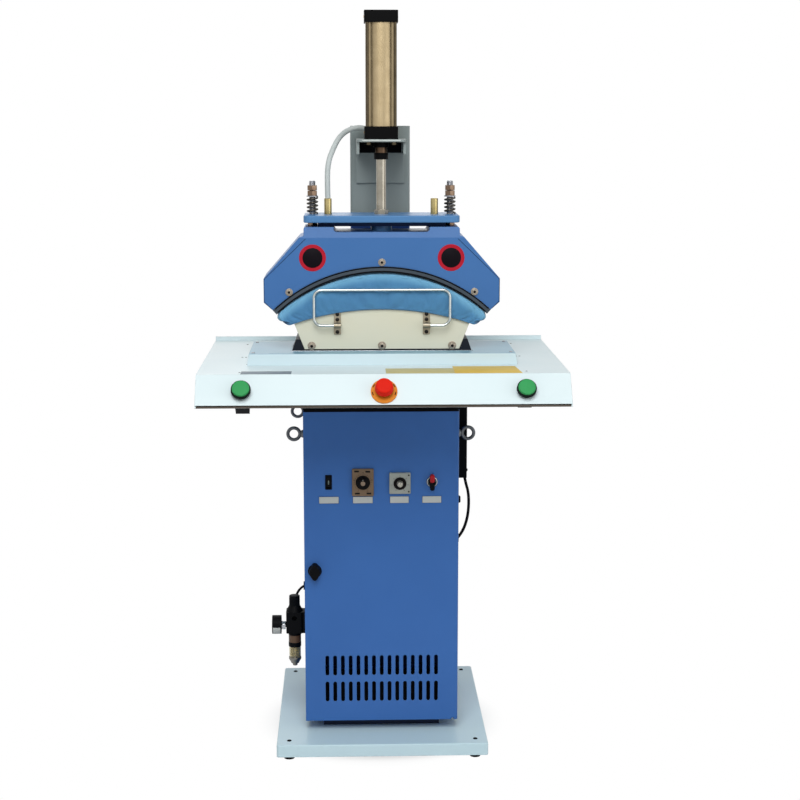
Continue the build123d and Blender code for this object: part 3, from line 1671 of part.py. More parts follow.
with BuildPart() as air_fittings:
    with BuildSketch(front_plane(regulator_y + regulator_depth / 2)):
        with Locations((regulator_x, port_z)):
            Circle(port_radius - running_gap)
    extrude(amount=port_depth - panel_gap)
    with BuildSketch(front_plane(regulator_y + regulator_depth / 2)):
        with Locations((regulator_x, port_z)):
            Circle(elbow_radius)
    extrude(amount=-elbow_reach)
    with BuildSketch(Plane.XY.offset(port_z - elbow_radius)):
        with Locations((regulator_x, tube_y)):
            Circle(elbow_radius)
    extrude(amount=elbow_height + elbow_radius)
    with BuildSketch(Plane.XY.offset(tube_start_z)):
        with Locations((regulator_x, tube_y)):
            Circle(air_tube_radius + running_gap)
    extrude(amount=-elbow_socket, mode=Mode.SUBTRACT)

right_wall = Plane.YZ.offset(cab_side)
left_wall = Plane(origin=(-cab_side, 0, 0), x_dir=(0, -1, 0), z_dir=(-1, 0, 0))
column_face = front_plane(column_front)
gland_places = (
    (right_wall, (cord_y, cord_route[-1][2]), grommet_fit * cord_radius, grommet_thick),
    (left_wall, (-tube_y, tube_route[-1][2]), grommet_fit * air_tube_radius, grommet_thick),
    (column_face, (conduit_gland_x, conduit_gland_z), conduit_radius + running_gap, gland_nose),
)

with BuildPart() as cable_glands:
    for wall, place, bore, length in gland_places:
        with BuildSketch(wall):
            with Locations(place):
                Circle(bore + grommet_rim)
                Circle(bore, mode=Mode.SUBTRACT)
        extrude(amount=length)

pieces = {
    "base_plate": base_plate,
    "feet": feet,
    "plinth_rails": plinth_rails,
    "cabinet_body": cabinet_body,
    "rear_panel": rear_panel,
    "hinge_pins": hinge_pins,
    "front_door": front_door,
    "latch_knob": latch_knob,
    "switch_bodies": switch_bodies,
    "power_rocker": power_rocker,
    "temperature_controller": temperature_controller,
    "temperature_knob": temperature_knob,
    "timer": timer,
    "timer_knob": timer_knob,
    "selector_lever": selector_lever,
    "mounting_plate": mounting_plate,
    "din_rail_gear": din_rail_gear,
    "solenoid_valve": solenoid_valve,
    "lifting_eyes": lifting_eyes,
    "table_support": table_support,
    "table_top": table_top,
    "platform_cover": platform_cover,
    "buck_foot": buck_foot,
    "buck_plates": buck_plates,
    "buck_arch": buck_arch,
    "buck_pad": buck_pad,
    "bail_brackets": bail_brackets,
    "bail": bail,
    "head_casing": head_casing,
    "arch_strips": arch_strips,
    "pressing_die": pressing_die,
    "heater_rods": heater_rods,
    "crossbar": crossbar,
    "suspension_studs": suspension_studs,
    "suspension_springs": suspension_springs,
    "conduit_nipples": conduit_nipples,
    "column": column,
    "cylinder_bracket": cylinder_bracket,
    "cylinder_caps": cylinder_caps,
    "cylinder_barrel": cylinder_barrel,
    "cylinder_fixings": cylinder_fixings,
    "piston_rod": piston_rod,
    "button_bodies": button_bodies,
    "palm_button_left": palm_button_left,
    "palm_button_right": palm_button_right,
    "estop_ring": estop_ring,
    "estop_plunger": estop_plunger,
    "estop_head": estop_head,
    "regulator_body": regulator_body,
    "regulator_knob": regulator_knob,
    "regulator_bracket": regulator_bracket,
    "filter_bowl": filter_bowl,
    "gauge_case": gauge_case,
    "gauge_needle": gauge_needle,
    "cable_duct": cable_duct,
    "cable_glands": cable_glands,
    "power_cord": power_cord,
    "air_tube": air_tube,
    "air_fittings": air_fittings,
    "heater_conduit": heater_conduit,
}
for label, piece in pieces.items():
    piece.part.label = label
    export_step(piece.part, f"parts/{label}.step")
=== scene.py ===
# Shirt collar setting machine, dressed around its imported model.
# Metres, with X to the right, Y to the back and Z up, as in the model.

import bmesh
import bpy
import numpy as np
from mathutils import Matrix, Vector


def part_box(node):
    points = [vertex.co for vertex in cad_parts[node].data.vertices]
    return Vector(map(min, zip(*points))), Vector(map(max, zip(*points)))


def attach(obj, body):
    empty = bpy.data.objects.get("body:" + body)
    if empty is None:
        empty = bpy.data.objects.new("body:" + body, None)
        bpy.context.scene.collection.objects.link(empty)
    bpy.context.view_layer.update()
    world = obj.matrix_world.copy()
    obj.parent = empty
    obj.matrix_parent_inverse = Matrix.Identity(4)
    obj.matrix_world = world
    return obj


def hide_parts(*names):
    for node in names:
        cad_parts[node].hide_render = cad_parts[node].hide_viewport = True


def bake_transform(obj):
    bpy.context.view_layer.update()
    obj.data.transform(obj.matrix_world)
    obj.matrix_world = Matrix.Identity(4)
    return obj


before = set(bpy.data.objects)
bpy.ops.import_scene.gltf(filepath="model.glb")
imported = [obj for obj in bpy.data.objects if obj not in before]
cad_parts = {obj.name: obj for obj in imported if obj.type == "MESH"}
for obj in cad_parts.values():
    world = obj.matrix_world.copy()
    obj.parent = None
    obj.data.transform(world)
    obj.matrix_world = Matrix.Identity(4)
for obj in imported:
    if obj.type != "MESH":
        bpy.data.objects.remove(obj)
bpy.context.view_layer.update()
scene = bpy.context.scene

# Camera: it stands 3.8 m in front, a little to the left, and looks slightly down through a long
# lens, which keeps the machine's upright lines almost parallel.
camera_place = (-0.0758, -3.7921, 1.4983)
camera_pitch = 0.1722
camera_yaw = 0.0321
camera_lens = 73.07
camera = bpy.data.objects.new("camera", bpy.data.cameras.new("camera"))
camera.data.sensor_width = 36.0
camera.data.lens = camera_lens
camera.location = camera_place
camera.rotation_euler = (np.pi / 2 - camera_pitch, 0.0, -camera_yaw)
scene.collection.objects.link(camera)
scene.camera = camera


# Power cord: a round two-core lead in black PVC that leaves the cable duct, bows outwards
# and goes back through a rubber grommet into the cabinet's right wall.
def linear(code):
    """The linear colour of an sRGB hex code, with full alpha: each channel is taken from its
    display curve, a straight foot and a power of 2.4 above it."""
    channels = np.array([int(code[i:i + 2], 16) for i in (1, 3, 5)]) / 255
    curved = np.where(channels > 0.04045, ((channels + 0.055) / 1.055) ** 2.4, channels / 12.92)
    return (*curved.tolist(), 1.0)


def add_node(owner, kind, settings=(), values=(), links=()):
    """Adds a shader node to a material or the world, with its settings, the values of its
    sockets and the links into them."""
    node = owner.node_tree.nodes.new("ShaderNode" + kind)
    for name, value in dict(settings).items():
        setattr(node, name, value)
    for socket, value in dict(values).items():
        node.inputs[socket].default_value = value
    for socket, (source, output) in dict(links).items():
        owner.node_tree.links.new(source.outputs[output], node.inputs[socket])
    return node


def start_material(name, values):
    """A new material and its principled shader with the given values."""
    material = bpy.data.materials.new(name)
    material.use_nodes = True
    shader = material.node_tree.nodes["Principled BSDF"]
    for socket, value in values.items():
        shader.inputs[socket].default_value = value
    return material, shader


def feed(owner, shader, socket, source, output):
    """Links a node's output into the shader."""
    owner.node_tree.links.new(source.outputs[output], shader.inputs[socket])


# A Mix node of colours keeps its factor, first and second colour and result at these places.
MIX, FIRST, SECOND, MIXED = 0, 6, 7, 2
COLOUR_MIX = {"data_type": "RGBA"}


def moulded(name, colour, deep, roughness=0.42, grain=0.0011, shine=0.12):
    """Moulded plastic or rubber: an even colour that deepens in soft clouds, and the fine grain
    that a spark-eroded mould leaves, which breaks up the gloss. The grain is drawn at about 1 mm,
    coarser than the real 0.1 mm, so that it shows. Shine scales its mirror share."""
    material, shader = start_material(name, {"IOR": 1.5, "Specular IOR Level": shine})
    place = add_node(material, "TexCoord")
    at = {"Vector": (place, "Object")}
    cloud = add_node(material, "TexNoise", values={"Scale": 28.0, "Detail": 4.0}, links=at)
    tone = add_node(
        material, "Mix", COLOUR_MIX, {FIRST: linear(colour), SECOND: linear(deep)},
        {MIX: (cloud, "Fac")},
    )
    grit = add_node(material, "TexNoise", values={"Scale": 1 / grain, "Detail": 2.0}, links=at)
    gloss = add_node(
        material, "MapRange", values={"To Min": roughness - 0.06, "To Max": roughness + 0.14},
        links={"Value": (grit, "Fac")},
    )
    rounded = add_node(material, "Bevel", {"samples": 4}, {"Radius": 0.0006})
    bump = add_node(
        material, "Bump", values={"Strength": 0.35, "Distance": 0.00012},
        links={"Height": (grit, "Fac"), "Normal": (rounded, "Normal")},
    )
    feed(material, shader, "Base Color", tone, MIXED)
    feed(material, shader, "Roughness", gloss, "Result")
    feed(material, shader, "Normal", bump, "Normal")
    return material


def lead(name, route, radius, material):
    """A smooth round lead along a route of chosen points."""
    curve = bpy.data.curves.new(name, "CURVE")
    curve.dimensions = "3D"
    spline = curve.splines.new("NURBS")
    spline.points.add(len(route) - 1)
    for point, place in zip(spline.points, route):
        point.co = (*place, 1.0)
    spline.order_u = 3
    spline.use_endpoint_u = True
    spline.resolution_u = 10
    curve.bevel_depth = radius
    curve.bevel_resolution = 5
    curve.use_fill_caps = True
    piece = bpy.data.objects.new(name, curve)
    scene.collection.objects.link(piece)
    if material:
        curve.materials.append(material)
    return piece


black_pvc = moulded("black_pvc", "#07090e", "#040508", roughness=0.42, shine=0.08)
cord_route = [
    (0.201, 0.008, 0.650),
    (0.204, 0.008, 0.634),
    (0.210, 0.008, 0.614),
    (0.212, 0.008, 0.588),
    (0.210, 0.008, 0.556),
    (0.203, 0.008, 0.528),
    (0.193, 0.008, 0.508),
    (0.1857, 0.008, 0.4995),
]
cord_radius = 0.0035
power_lead = lead("power_lead", cord_route, cord_radius, black_pvc)
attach(power_lead, "root")
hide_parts("power_cord")

# Air tube: 6 mm black polyurethane tube, pushed into the regulator's elbow, that bends upwards
# and goes through a grommet into the cabinet's left wall.
air_route = [
    (-0.209, 0.024, 0.3223),
    (-0.209, 0.024, 0.334),
    (-0.2075, 0.024, 0.346),
    (-0.204, 0.024, 0.358),
    (-0.198, 0.024, 0.368),
    (-0.190, 0.024, 0.3755),
    (-0.1845, 0.024, 0.378),
]
black_polyurethane = moulded("black_polyurethane", "#0a0d14", "#06080d", roughness=0.3)
air_radius = 0.003
air_line = lead("air_line", air_route, air_radius, black_polyurethane)
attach(air_line, "root")
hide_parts("air_tube")


# Heater conduit: a smooth light grey silicone sleeve with the heater leads, from the head's
# left nipple to a gland on the column.
def grid(points, around=False):
    """Points on a grid, rows by columns, joined by quads; around closes each row."""
    rows, columns = points.shape[:2]
    index = np.arange(rows * columns).reshape(rows, columns)
    if around:
        index = np.hstack([index, index[:, :1]])
    quads = np.stack([index[:-1, :-1], index[:-1, 1:], index[1:, 1:], index[1:, :-1]], axis=-1)
    return points.reshape(-1, 3), quads.reshape(-1, 4).tolist()


def closed(rings):
    """Rings of points, one row each, as a skin with a flat face at either end."""
    points, faces = grid(np.array(rings), around=True)
    count = len(rings[0])
    total = len(points)
    faces.append(list(range(count))[::-1])
    faces.append(list(range(total - count, total)))
    return points, faces


def tube(path, radii, across, sides=20):
    """Rings that stand square to a path: each point is the path's plus its radius times a turn
    of two vectors, both square to the path, the first also square to the vector across."""
    path = np.asarray(path, float)
    way = np.gradient(path, axis=0)
    way /= np.linalg.norm(way, axis=1, keepdims=True)
    side = np.cross(way, across)
    side /= np.linalg.norm(side, axis=1, keepdims=True)
    over = np.cross(side, way)
    angles = np.arange(sides) * 2 * np.pi / sides
    across_turn, over_turn = np.cos(angles)[:, None], np.sin(angles)[:, None]
    turn = across_turn * side[:, None] + over_turn * over[:, None]
    return closed(path[:, None] + np.asarray(radii, float)[:, None, None] * turn)


def build(name, shapes, material, body, crease=35.0):
    """One piece from several shapes: merged, with its faces turned outwards and its edges sharp
    past the crease angle, riding on its body."""
    mesh = bpy.data.meshes.new(name)
    points, faces = [], []
    for shape_points, shape_faces in shapes:
        faces += [[corner + len(points) for corner in face] for face in shape_faces]
        points += np.asarray(shape_points).tolist()
    mesh.from_pydata(points, [], faces)
    tidy = bmesh.new()
    tidy.from_mesh(mesh)
    bmesh.ops.remove_doubles(tidy, verts=tidy.verts, dist=1e-6)
    bmesh.ops.recalc_face_normals(tidy, faces=tidy.faces)
    tidy.to_mesh(mesh)
    tidy.free()
    mesh.shade_smooth()
    mesh.set_sharp_from_angle(angle=np.radians(crease))
    if material:
        mesh.materials.append(material)
    piece = bpy.data.objects.new(name, mesh)
    scene.collection.objects.link(piece)
    if body:
        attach(piece, body)
    return piece


conduit_route = [
    (-0.120, -0.109, 1.319),
    (-0.1216, -0.107, 1.371),
    (-0.1175, -0.100, 1.404),
    (-0.109, -0.090, 1.426),
    (-0.095, -0.070, 1.454),
    (-0.075, -0.047, 1.4705),
    (-0.050, -0.033, 1.477),
    (-0.024, -0.024, 1.471),
    (-0.014, -0.009, 1.466),
    (-0.014, 0.001, 1.466),
]
conduit_radius = 0.006
conduit_line = lead("conduit_line", conduit_route, 0.0, None)
line_mesh = bpy.data.meshes.new_from_object(conduit_line)
conduit_path = np.array([vertex.co for vertex in line_mesh.vertices])
bpy.data.objects.remove(conduit_line)
conduit_radii = np.full(len(conduit_path), conduit_radius)
grey_silicone = moulded("grey_silicone", "#c3cbca", "#aab2b2", roughness=0.5)
conduit = build(
    "conduit", [tube(conduit_path, conduit_radii, (-0.6, 0.8, 0.0))], grey_silicone, None,
    crease=60.0,
)
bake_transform(conduit)
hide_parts("heater_conduit")


# Floor stand: a folded steel tray in pale enamel, open below, on four rubber feet, whose
# stems are riveted over on its top, with two box rails across it under the cabinet, coloured
# near-black navy as painted shade.
def enamel(name, colour, shade, worn, gloss=0.33, cloud_size=0.16, shine=0.35):
    """Stoved enamel on sheet steel: the colour drifts to a second tone over a hand's width, an
    orange peel of 2 to 3 mm ripples the gloss, and edges, rounded by the film, are rubbed to a
    third tone."""
    material, shader = start_material(name, {"IOR": 1.5, "Specular IOR Level": shine})
    place = add_node(material, "TexCoord")
    at = {"Vector": (place, "Object")}
    cloud = add_node(
        material, "TexNoise", values={"Scale": 1 / cloud_size, "Detail": 3.0}, links=at
    )
    tone = add_node(
        material, "Mix", COLOUR_MIX, {FIRST: linear(colour), SECOND: linear(shade)},
        {MIX: (cloud, "Fac")},
    )
    rounded = add_node(material, "Bevel", {"samples": 4}, {"Radius": 0.0016})
    facing = add_node(material, "NewGeometry")
    agree = add_node(
        material, "VectorMath", {"operation": "DOT_PRODUCT"},
        links={0: (rounded, "Normal"), 1: (facing, "Normal")},
    )
    edge = add_node(
        material, "MapRange", values={"From Min": 0.99, "From Max": 0.80, "To Max": 0.8},
        links={"Value": (agree, "Value")},
    )
    rub = add_node(material, "TexNoise", values={"Scale": 90.0, "Detail": 4.0}, links=at)
    patchy = add_node(
        material, "Math", {"operation": "MULTIPLY"}, links={0: (edge, "Result"), 1: (rub, "Fac")}
    )
    finish = add_node(
        material, "Mix", COLOUR_MIX, {SECOND: linear(worn)},
        {MIX: (patchy, "Value"), FIRST: (tone, MIXED)},
    )
    peel = add_node(material, "TexNoise", values={"Scale": 420.0, "Detail": 1.0}, links=at)
    smear = add_node(material, "TexNoise", values={"Scale": 13.0, "Detail": 5.0}, links=at)
    dull = add_node(
        material, "MapRange", values={"To Min": gloss - 0.08, "To Max": gloss + 0.12},
        links={"Value": (smear, "Fac")},
    )
    bump = add_node(
        material, "Bump", values={"Strength": 0.2, "Distance": 0.00012},
        links={"Height": (peel, "Fac"), "Normal": (rounded, "Normal")},
    )
    feed(material, shader, "Base Color", finish, MIXED)
    feed(material, shader, "Roughness", dull, "Result")
    feed(material, shader, "Normal", bump, "Normal")
    return material


def dress(material, *nodes):
    """Gives the model's own nodes a material."""
    for node in nodes:
        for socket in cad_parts[node].material_slots:
            socket.material = material


stand_enamel = enamel("stand_enamel", "#c9e1e8", "#bcd6df", "#98a7b1", cloud_size=0.3, shine=0.25)
foot_rubber = moulded("foot_rubber", "#0f1114", "#08090b", roughness=0.7, grain=0.0018, shine=0.08)
dress(stand_enamel, "base_plate")
dress(foot_rubber, "feet")
# Painted shade: the rails are coloured near-black navy for the shade under the cabinet.
rail_shade_enamel = enamel("rail_shade_enamel", "#141f3c", "#0e1730", "#34466e", shine=0.2)
dress(rail_shade_enamel, "plinth_rails")


def circle(radius, count):
    """A round outline: the radius, less what it is drawn in by, at even angles."""
    angles = np.arange(count) * 2 * np.pi / count
    turn = np.column_stack([np.cos(angles), np.sin(angles)])
    return lambda inset: (radius - inset) * turn


def rectangle(width, height, corner):
    """A rectangle with round corners: each corner's centre plus a quarter circle of its radius,
    which shrinks with what the outline is drawn in by."""
    angles = np.radians(np.linspace(0, 90, 5)[None] + np.array([[0], [90], [180], [270]]))
    quarter = np.stack([np.cos(angles), np.sin(angles)], axis=-1)
    signs = np.array([[[1, 1]], [[-1, 1]], [[-1, -1]], [[1, -1]]])

    def outline(inset):
        radius = max(corner - inset, 1e-5)
        half = np.array([width / 2 - inset - radius, height / 2 - inset - radius])
        return (signs * half + radius * quarter).reshape(-1, 2)

    return outline


def hexagon(across, count=48):
    """A hexagon across its flats, cut by a circle that shrinks with what it is drawn in by: the
    lesser of the flat's distance over the cosine of the angle from it, and the circle."""
    angles = np.arange(count) * 2 * np.pi / count
    turn = np.column_stack([np.cos(angles), np.sin(angles)])
    flat = across / 2 / np.cos((angles + np.pi / 6) % (np.pi / 3) - np.pi / 6)
    return lambda inset: np.minimum(flat, flat.max() - inset)[:, None] * turn


def stack(outline, steps, origin, right, up):
    """One outline drawn once for each step, which gives how far it is drawn in and how high it
    stands above the plane through the origin; the normal is right crossed with up."""
    right, up = np.array(right, float), np.array(up, float)
    normal = np.cross(right, up)
    rings = []
    for inset, rise in steps:
        flat = outline(inset)
        rings.append(np.array(origin) + flat[:, :1] * right + flat[:, 1:] * up + rise * normal)
    return closed(rings)


def copies(outline, steps, places, way):
    """The same shape drawn at each place, all of them facing one way."""
    return [stack(outline, steps, place, *way) for place in places]


TO_FRONT = ((1, 0, 0), (0, 0, 1))
TO_BACK = ((-1, 0, 0), (0, 0, 1))
TO_RIGHT = ((0, 1, 0), (0, 0, 1))
TO_LEFT = ((0, -1, 0), (0, 0, 1))
UPWARDS = ((1, 0, 0), (0, 1, 0))


def metal(name, colour, dark, roughness, grain=(1.0, 1.0, 1.0), grain_size=0.0016, relief=0.00003):
    """Bare or plated metal: the tone wanders between two, and a grain stretched along the way it
    was drawn, turned or brushed scratches the gloss. The grain is drawn at 1.6 mm and more across,
    coarser than the real 0.1 mm, so that it shows."""
    material, shader = start_material(name, {"Metallic": 1.0, "Roughness": roughness})
    place = add_node(material, "TexCoord")
    at = {"Vector": (place, "Object")}
    cloud = add_node(material, "TexNoise", values={"Scale": 45.0, "Detail": 5.0}, links=at)
    tone = add_node(
        material, "Mix", COLOUR_MIX, {FIRST: linear(colour), SECOND: linear(dark)},
        {MIX: (cloud, "Fac")},
    )
    drawn = add_node(material, "Mapping", values={"Scale": grain}, links=at)
    lines = add_node(
        material, "TexNoise", values={"Scale": 1 / grain_size, "Detail": 3.0},
        links={"Vector": (drawn, "Vector")},
    )
    gloss = add_node(
        material, "MapRange", values={"To Min": roughness * 0.6, "To Max": roughness * 1.5},
        links={"Value": (lines, "Fac")},
    )
    rounded = add_node(material, "Bevel", {"samples": 4}, {"Radius": 0.0007})
    bump = add_node(
        material, "Bump", values={"Strength": 0.5, "Distance": relief},
        links={"Height": (lines, "Fac"), "Normal": (rounded, "Normal")},
    )
    feed(material, shader, "Base Color", tone, MIXED)
    feed(material, shader, "Roughness", gloss, "Result")
    feed(material, shader, "Normal", bump, "Normal")
    return material


zinc_plate = metal("zinc_plate", "#a9abb0", "#85888d", 0.32)
base_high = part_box("base_plate")[1]
stem_places = [(x, y, base_high.z) for x in (-0.221, 0.221) for y in (-0.129, 0.361)]
stem_steps = [(0, 0), (0, 0.0006), (0.0012, 0.0014), (0.0030, 0.0018)]
stem_ends = copies(circle(0.0055, 20), stem_steps, stem_places, UPWARDS)
build("foot_stems", stem_ends, foot_rubber, "root")

# Cabinet: a body of folded 2 mm sheet with a full-face door hinged on its right edge and a
# screwed back panel, all in blue gloss enamel, with two rows of slots for the switchgear's heat.
cabinet_enamel = enamel("cabinet_enamel", "#3a6aae", "#3461a2", "#6f8fc2", shine=0.2)
dress(cabinet_enamel, "cabinet_body", "rear_panel", "front_door")
dress(zinc_plate, "hinge_pins")
panel_low, panel_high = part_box("rear_panel")
side_inset, end_inset = 0.007, 0.03
panel_places = [
    (x, panel_high.y, z) for x in (panel_low.x + side_inset, panel_high.x - side_inset)
    for z in np.linspace(panel_low.z + end_inset, panel_high.z - end_inset, 4)
]
pan_steps = [(0, 0), (0, 0.0008), (0.0012, 0.0022), (0.0030, 0.0030)]
panel_screws = copies(circle(0.0045, 20), pan_steps, panel_places, TO_BACK)
build("rear_panel_screws", panel_screws, zinc_plate, "root")

# Cabinet floor shade: a near-black sheet, 3 mm thick, cut with round corners and laid on the
# cabinet's floor below the switchgear, as painted shade that keeps the cabinet dark through
# its slots.
cabinet_shade_finish = moulded("cabinet_shade_finish", "#0a1020", "#060a16", roughness=0.8, grain=0.0018, shine=0.04)
mat_width, mat_depth, mat_corner = 0.350, 0.336, 0.006
mat_place = (0.0, 0.1165, 0.0700)
mat = stack(
    rectangle(mat_width, mat_depth, mat_corner), [(0, 0), (0, 0.0025), (0.0006, 0.0030)],
    mat_place, *UPWARDS,
)
build("cabinet_shade_sheet", [mat], cabinet_shade_finish, "root")

# Door top shade: a black strip along the top edge of the door's front, below the table
# support, as painted shade where the table's shadow is deepest.
# The same black is painted shade in the seals, seams, lines and screw holes, and the ink of printed
# marks.
black_ink_and_shade = moulded("black_ink_and_shade", "#08090d", "#040508", roughness=0.6, shine=0.05)
door_low, door_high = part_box("front_door")
door_face = door_low.y
trim_width, trim_height = door_high.x - door_low.x - 0.002, 0.0058
trim_place = ((door_low.x + door_high.x) / 2, door_face, door_high.z - 0.0031)
door_trim = stack(
    rectangle(trim_width, trim_height, 0.0012), [(0, -0.0004), (0, 0.0008), (0.0006, 0.0014)],
    trim_place, *TO_FRONT,
)
build("door_top_shade", [door_trim], black_ink_and_shade, "door")

# Name plates: four bare engraved-laminate plates riveted below the instruments. They are left
# blank, with the dark bevel of the laminate round each.
plate_spans = ((-0.1470, -0.1000), (-0.0675, -0.0200), (0.0197, 0.0648), (0.0958, 0.1415))
plate_height = 0.017
plate_middle = 0.6125
white_laminate = moulded("white_laminate", "#b9bdbb", "#abb0ae", roughness=0.45, grain=0.002)
dark_laminate = moulded("dark_laminate", "#4a5a78", "#3c4b68", roughness=0.45)
bevel_width = 0.0016
plate_steps = [(0, 0.0002), (0, 0.0012), (0.0003, 0.0015)]
edge_steps = [(0, 0.0), (0, 0.0005), (0.0004, 0.0010)]
plates, plate_edges = [], []
for low, high in plate_spans:
    middle = ((low + high) / 2, door_face, plate_middle)
    face = rectangle(high - low - bevel_width, plate_height - bevel_width, 0.0008)
    plates.append(stack(face, plate_steps, middle, *TO_FRONT))
    whole = rectangle(high - low, plate_height, 0.0012)
    plate_edges.append(stack(whole, edge_steps, middle, *TO_FRONT))
build("name_plates", plates, white_laminate, "door")
build("name_plate_edges", plate_edges, dark_laminate, "door")

# Power rocker: a black nylon rocker in a snap-in switch body, which clips into the door, with an
# upright light line moulded into its face.
black_nylon = moulded("black_nylon", "#070a11", "#040609", roughness=0.45, shine=0.06)
dress(black_nylon, "switch_bodies", "power_rocker")
light_line = moulded("light_line", "#75807c", "#626d69", roughness=0.4)
instrument_row = 0.6555
rocker_low, rocker_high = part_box("power_rocker")
rocker_centre = ((rocker_low.x + rocker_high.x) / 2, rocker_low.y + 0.0014, instrument_row)
rocker_mark = stack(
    rectangle(0.0030, 0.0100, 0.0012), [(0, 0), (0, 0.0010), (0.0003, 0.0013)],
    rocker_centre, *TO_FRONT,
)
build("rocker_mark", [rocker_mark], light_line, "power_rocker")


# Temperature controller: a bronze-brown dial regulator with a black skirted knob, whose hub is a
# turned bronze disc, and plain numbers printed round the dial.
def disc_tick(angle, inner, outer, width, centre, rise):
    """A raised tick of ink on a dial: a thin bar from one radius to another at an angle from
    straight up, clockwise."""
    out = np.array([np.sin(angle), 0.0, np.cos(angle)])
    beside = np.array([np.cos(angle), 0.0, -np.sin(angle)])
    middle = np.array(centre) + out * (inner + outer) / 2
    bar = rectangle(width, outer - inner, width / 4)
    return stack(bar, [(0, -rise / 2), (0, rise)], middle, beside, out)


def numeral(text, size, place, depth):
    """A plain number as printed ink, standing upright and facing the front; its outline is made
    a mesh before its place is applied."""
    letters = bpy.data.curves.new("numeral", "FONT")
    letters.body = text
    letters.size = size
    letters.align_x = "CENTER"
    letters.align_y = "CENTER"
    letters.extrude = depth
    letters.resolution_u = 2
    text_piece = bpy.data.objects.new("numeral", letters)
    mesh = bpy.data.meshes.new_from_object(text_piece)
    flat = np.array([vertex.co for vertex in mesh.vertices])
    faces = [list(polygon.vertices) for polygon in mesh.polygons]
    bpy.data.objects.remove(text_piece)
    upright = np.column_stack([flat[:, 0], -flat[:, 2], flat[:, 1]])
    return upright + np.array(place), faces


def skirted_knob(name, centre, radius, height, ribs, material, body):
    """A round knob that faces the front: its radius shrinks a little up a scalloped wall, rolls
    over a soft edge and dishes to a flat hub; each scallop is a wave of the angle."""
    count = 12 * ribs
    angles = np.arange(count) * 2 * np.pi / count
    wave = np.abs(np.sin(ribs * angles / 2))
    profile = np.array([
        (1.00, 0.00, 0.0), (1.00, 0.10, 0.0), (0.94, 0.16, 0.0), (0.88, 0.20, 1.0),
        (0.85, 0.88, 1.0), (0.82, 0.96, 0.6), (0.76, 1.00, 0.2), (0.66, 1.00, 0.0),
        (0.62, 0.94, 0.0), (0.60, 0.93, 0.0),
    ])
    reach = radius * (profile[:, :1] - 0.045 * profile[:, 2:] * (1 - wave)[None])
    rings = np.stack([
        centre[0] + reach * np.cos(angles),
        np.broadcast_to(centre[1] - profile[:, 1:2] * height, reach.shape),
        centre[2] + reach * np.sin(angles),
    ], axis=-1)
    return build(name, [closed(rings)], material, body)


def face_centre(node):
    """The middle of a node's front face."""
    low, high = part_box(node)
    return ((low.x + high.x) / 2, low.y, (low.z + high.z) / 2)


def forward(place, depth):
    """A place moved towards the front."""
    return (place[0], place[1] - depth, place[2])


def dial_numbers(step, size, reach_x, reach_z, angles, centre):
    """Plain numbers round a dial: each stands at its angle, clockwise from straight up, on an
    ellipse with the two reaches."""
    return [
        numeral(str(step * index), size,
                (centre[0] + reach_x * np.sin(angle), centre[1] - 0.0001,
                 centre[2] + reach_z * np.cos(angle)), 0.00012)
        for index, angle in enumerate(angles)
    ]


bronze_bezel = moulded("bronze_bezel", "#84705c", "#6b5846", roughness=0.45)
black_phenolic = moulded(
    "black_phenolic", "#0a080a", "#050405", roughness=0.4, grain=0.0008, shine=0.08
)
turned_aluminium = metal("turned_aluminium", "#b4b3aa", "#97958c", 0.34, grain=(1, 0.02, 1))
dial_ink = moulded("dial_ink", "#2b2320", "#1f1917", roughness=0.6)
dress(bronze_bezel, "temperature_controller")
controller_centre = face_centre("temperature_controller")
dial_disc = stack(
    circle(0.0170, 64), [(0, -0.0002), (0, 0.0005), (0.0002, 0.0007)], controller_centre, *TO_FRONT
)
build("controller_dial", [dial_disc], black_phenolic, "door")
knob_lift, knob_height = 0.0009, 0.0115
controller_knob = skirted_knob(
    "controller_grip", forward(controller_centre, knob_lift), 0.0135, knob_height, 18,
    black_phenolic, "temperature_knob",
)
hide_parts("temperature_knob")
hub = stack(
    circle(0.0056, 48), [(0, 0), (0, 0.0006), (0.0006, 0.0011), (0.0050, 0.0009)],
    forward(controller_centre, 0.0112), *TO_FRONT,
)
bronze_disc = metal("bronze_disc", "#8a7a6c", "#6c5d50", 0.4, grain=(1, 0.02, 1))
build("controller_hub", [hub], bronze_disc, "temperature_knob")
pointer_place = forward(controller_centre, knob_lift + knob_height)
knob_line = disc_tick(0.0, 0.0066, 0.0100, 0.0011, pointer_place, 0.0002)
ink_white = moulded("ink_white", "#a9a59c", "#95918a", roughness=0.5)
build("controller_pointer", [knob_line], ink_white, "temperature_knob")
dial_reach = np.radians(150)
ticks = [
    disc_tick(angle, 0.0188, 0.0205 if index % 2 else 0.0214, 0.0005, controller_centre, 0.0002)
    for index, angle in enumerate(np.linspace(-dial_reach, dial_reach, 21))
]
number_angles = np.linspace(-dial_reach, dial_reach, 5)
numbers = dial_numbers(50, 0.0033, 0.021436, 0.0238, number_angles, controller_centre)
build("controller_scale", ticks + numbers, dial_ink, "door")
window_places = [
    (controller_centre[0] + x, controller_centre[1], controller_centre[2] + z)
    for x, z in ((-0.0145, 0.0270), (0.0115, 0.0262), (-0.0130, -0.0262), (0.0140, -0.0262))
]
window_steps = [(0, -0.0002), (0, 0.0003), (0.0003, 0.0005)]
windows = copies(rectangle(0.011, 0.0040, 0.0006), window_steps, window_places, TO_FRONT)
build("controller_windows", windows, black_phenolic, "door")

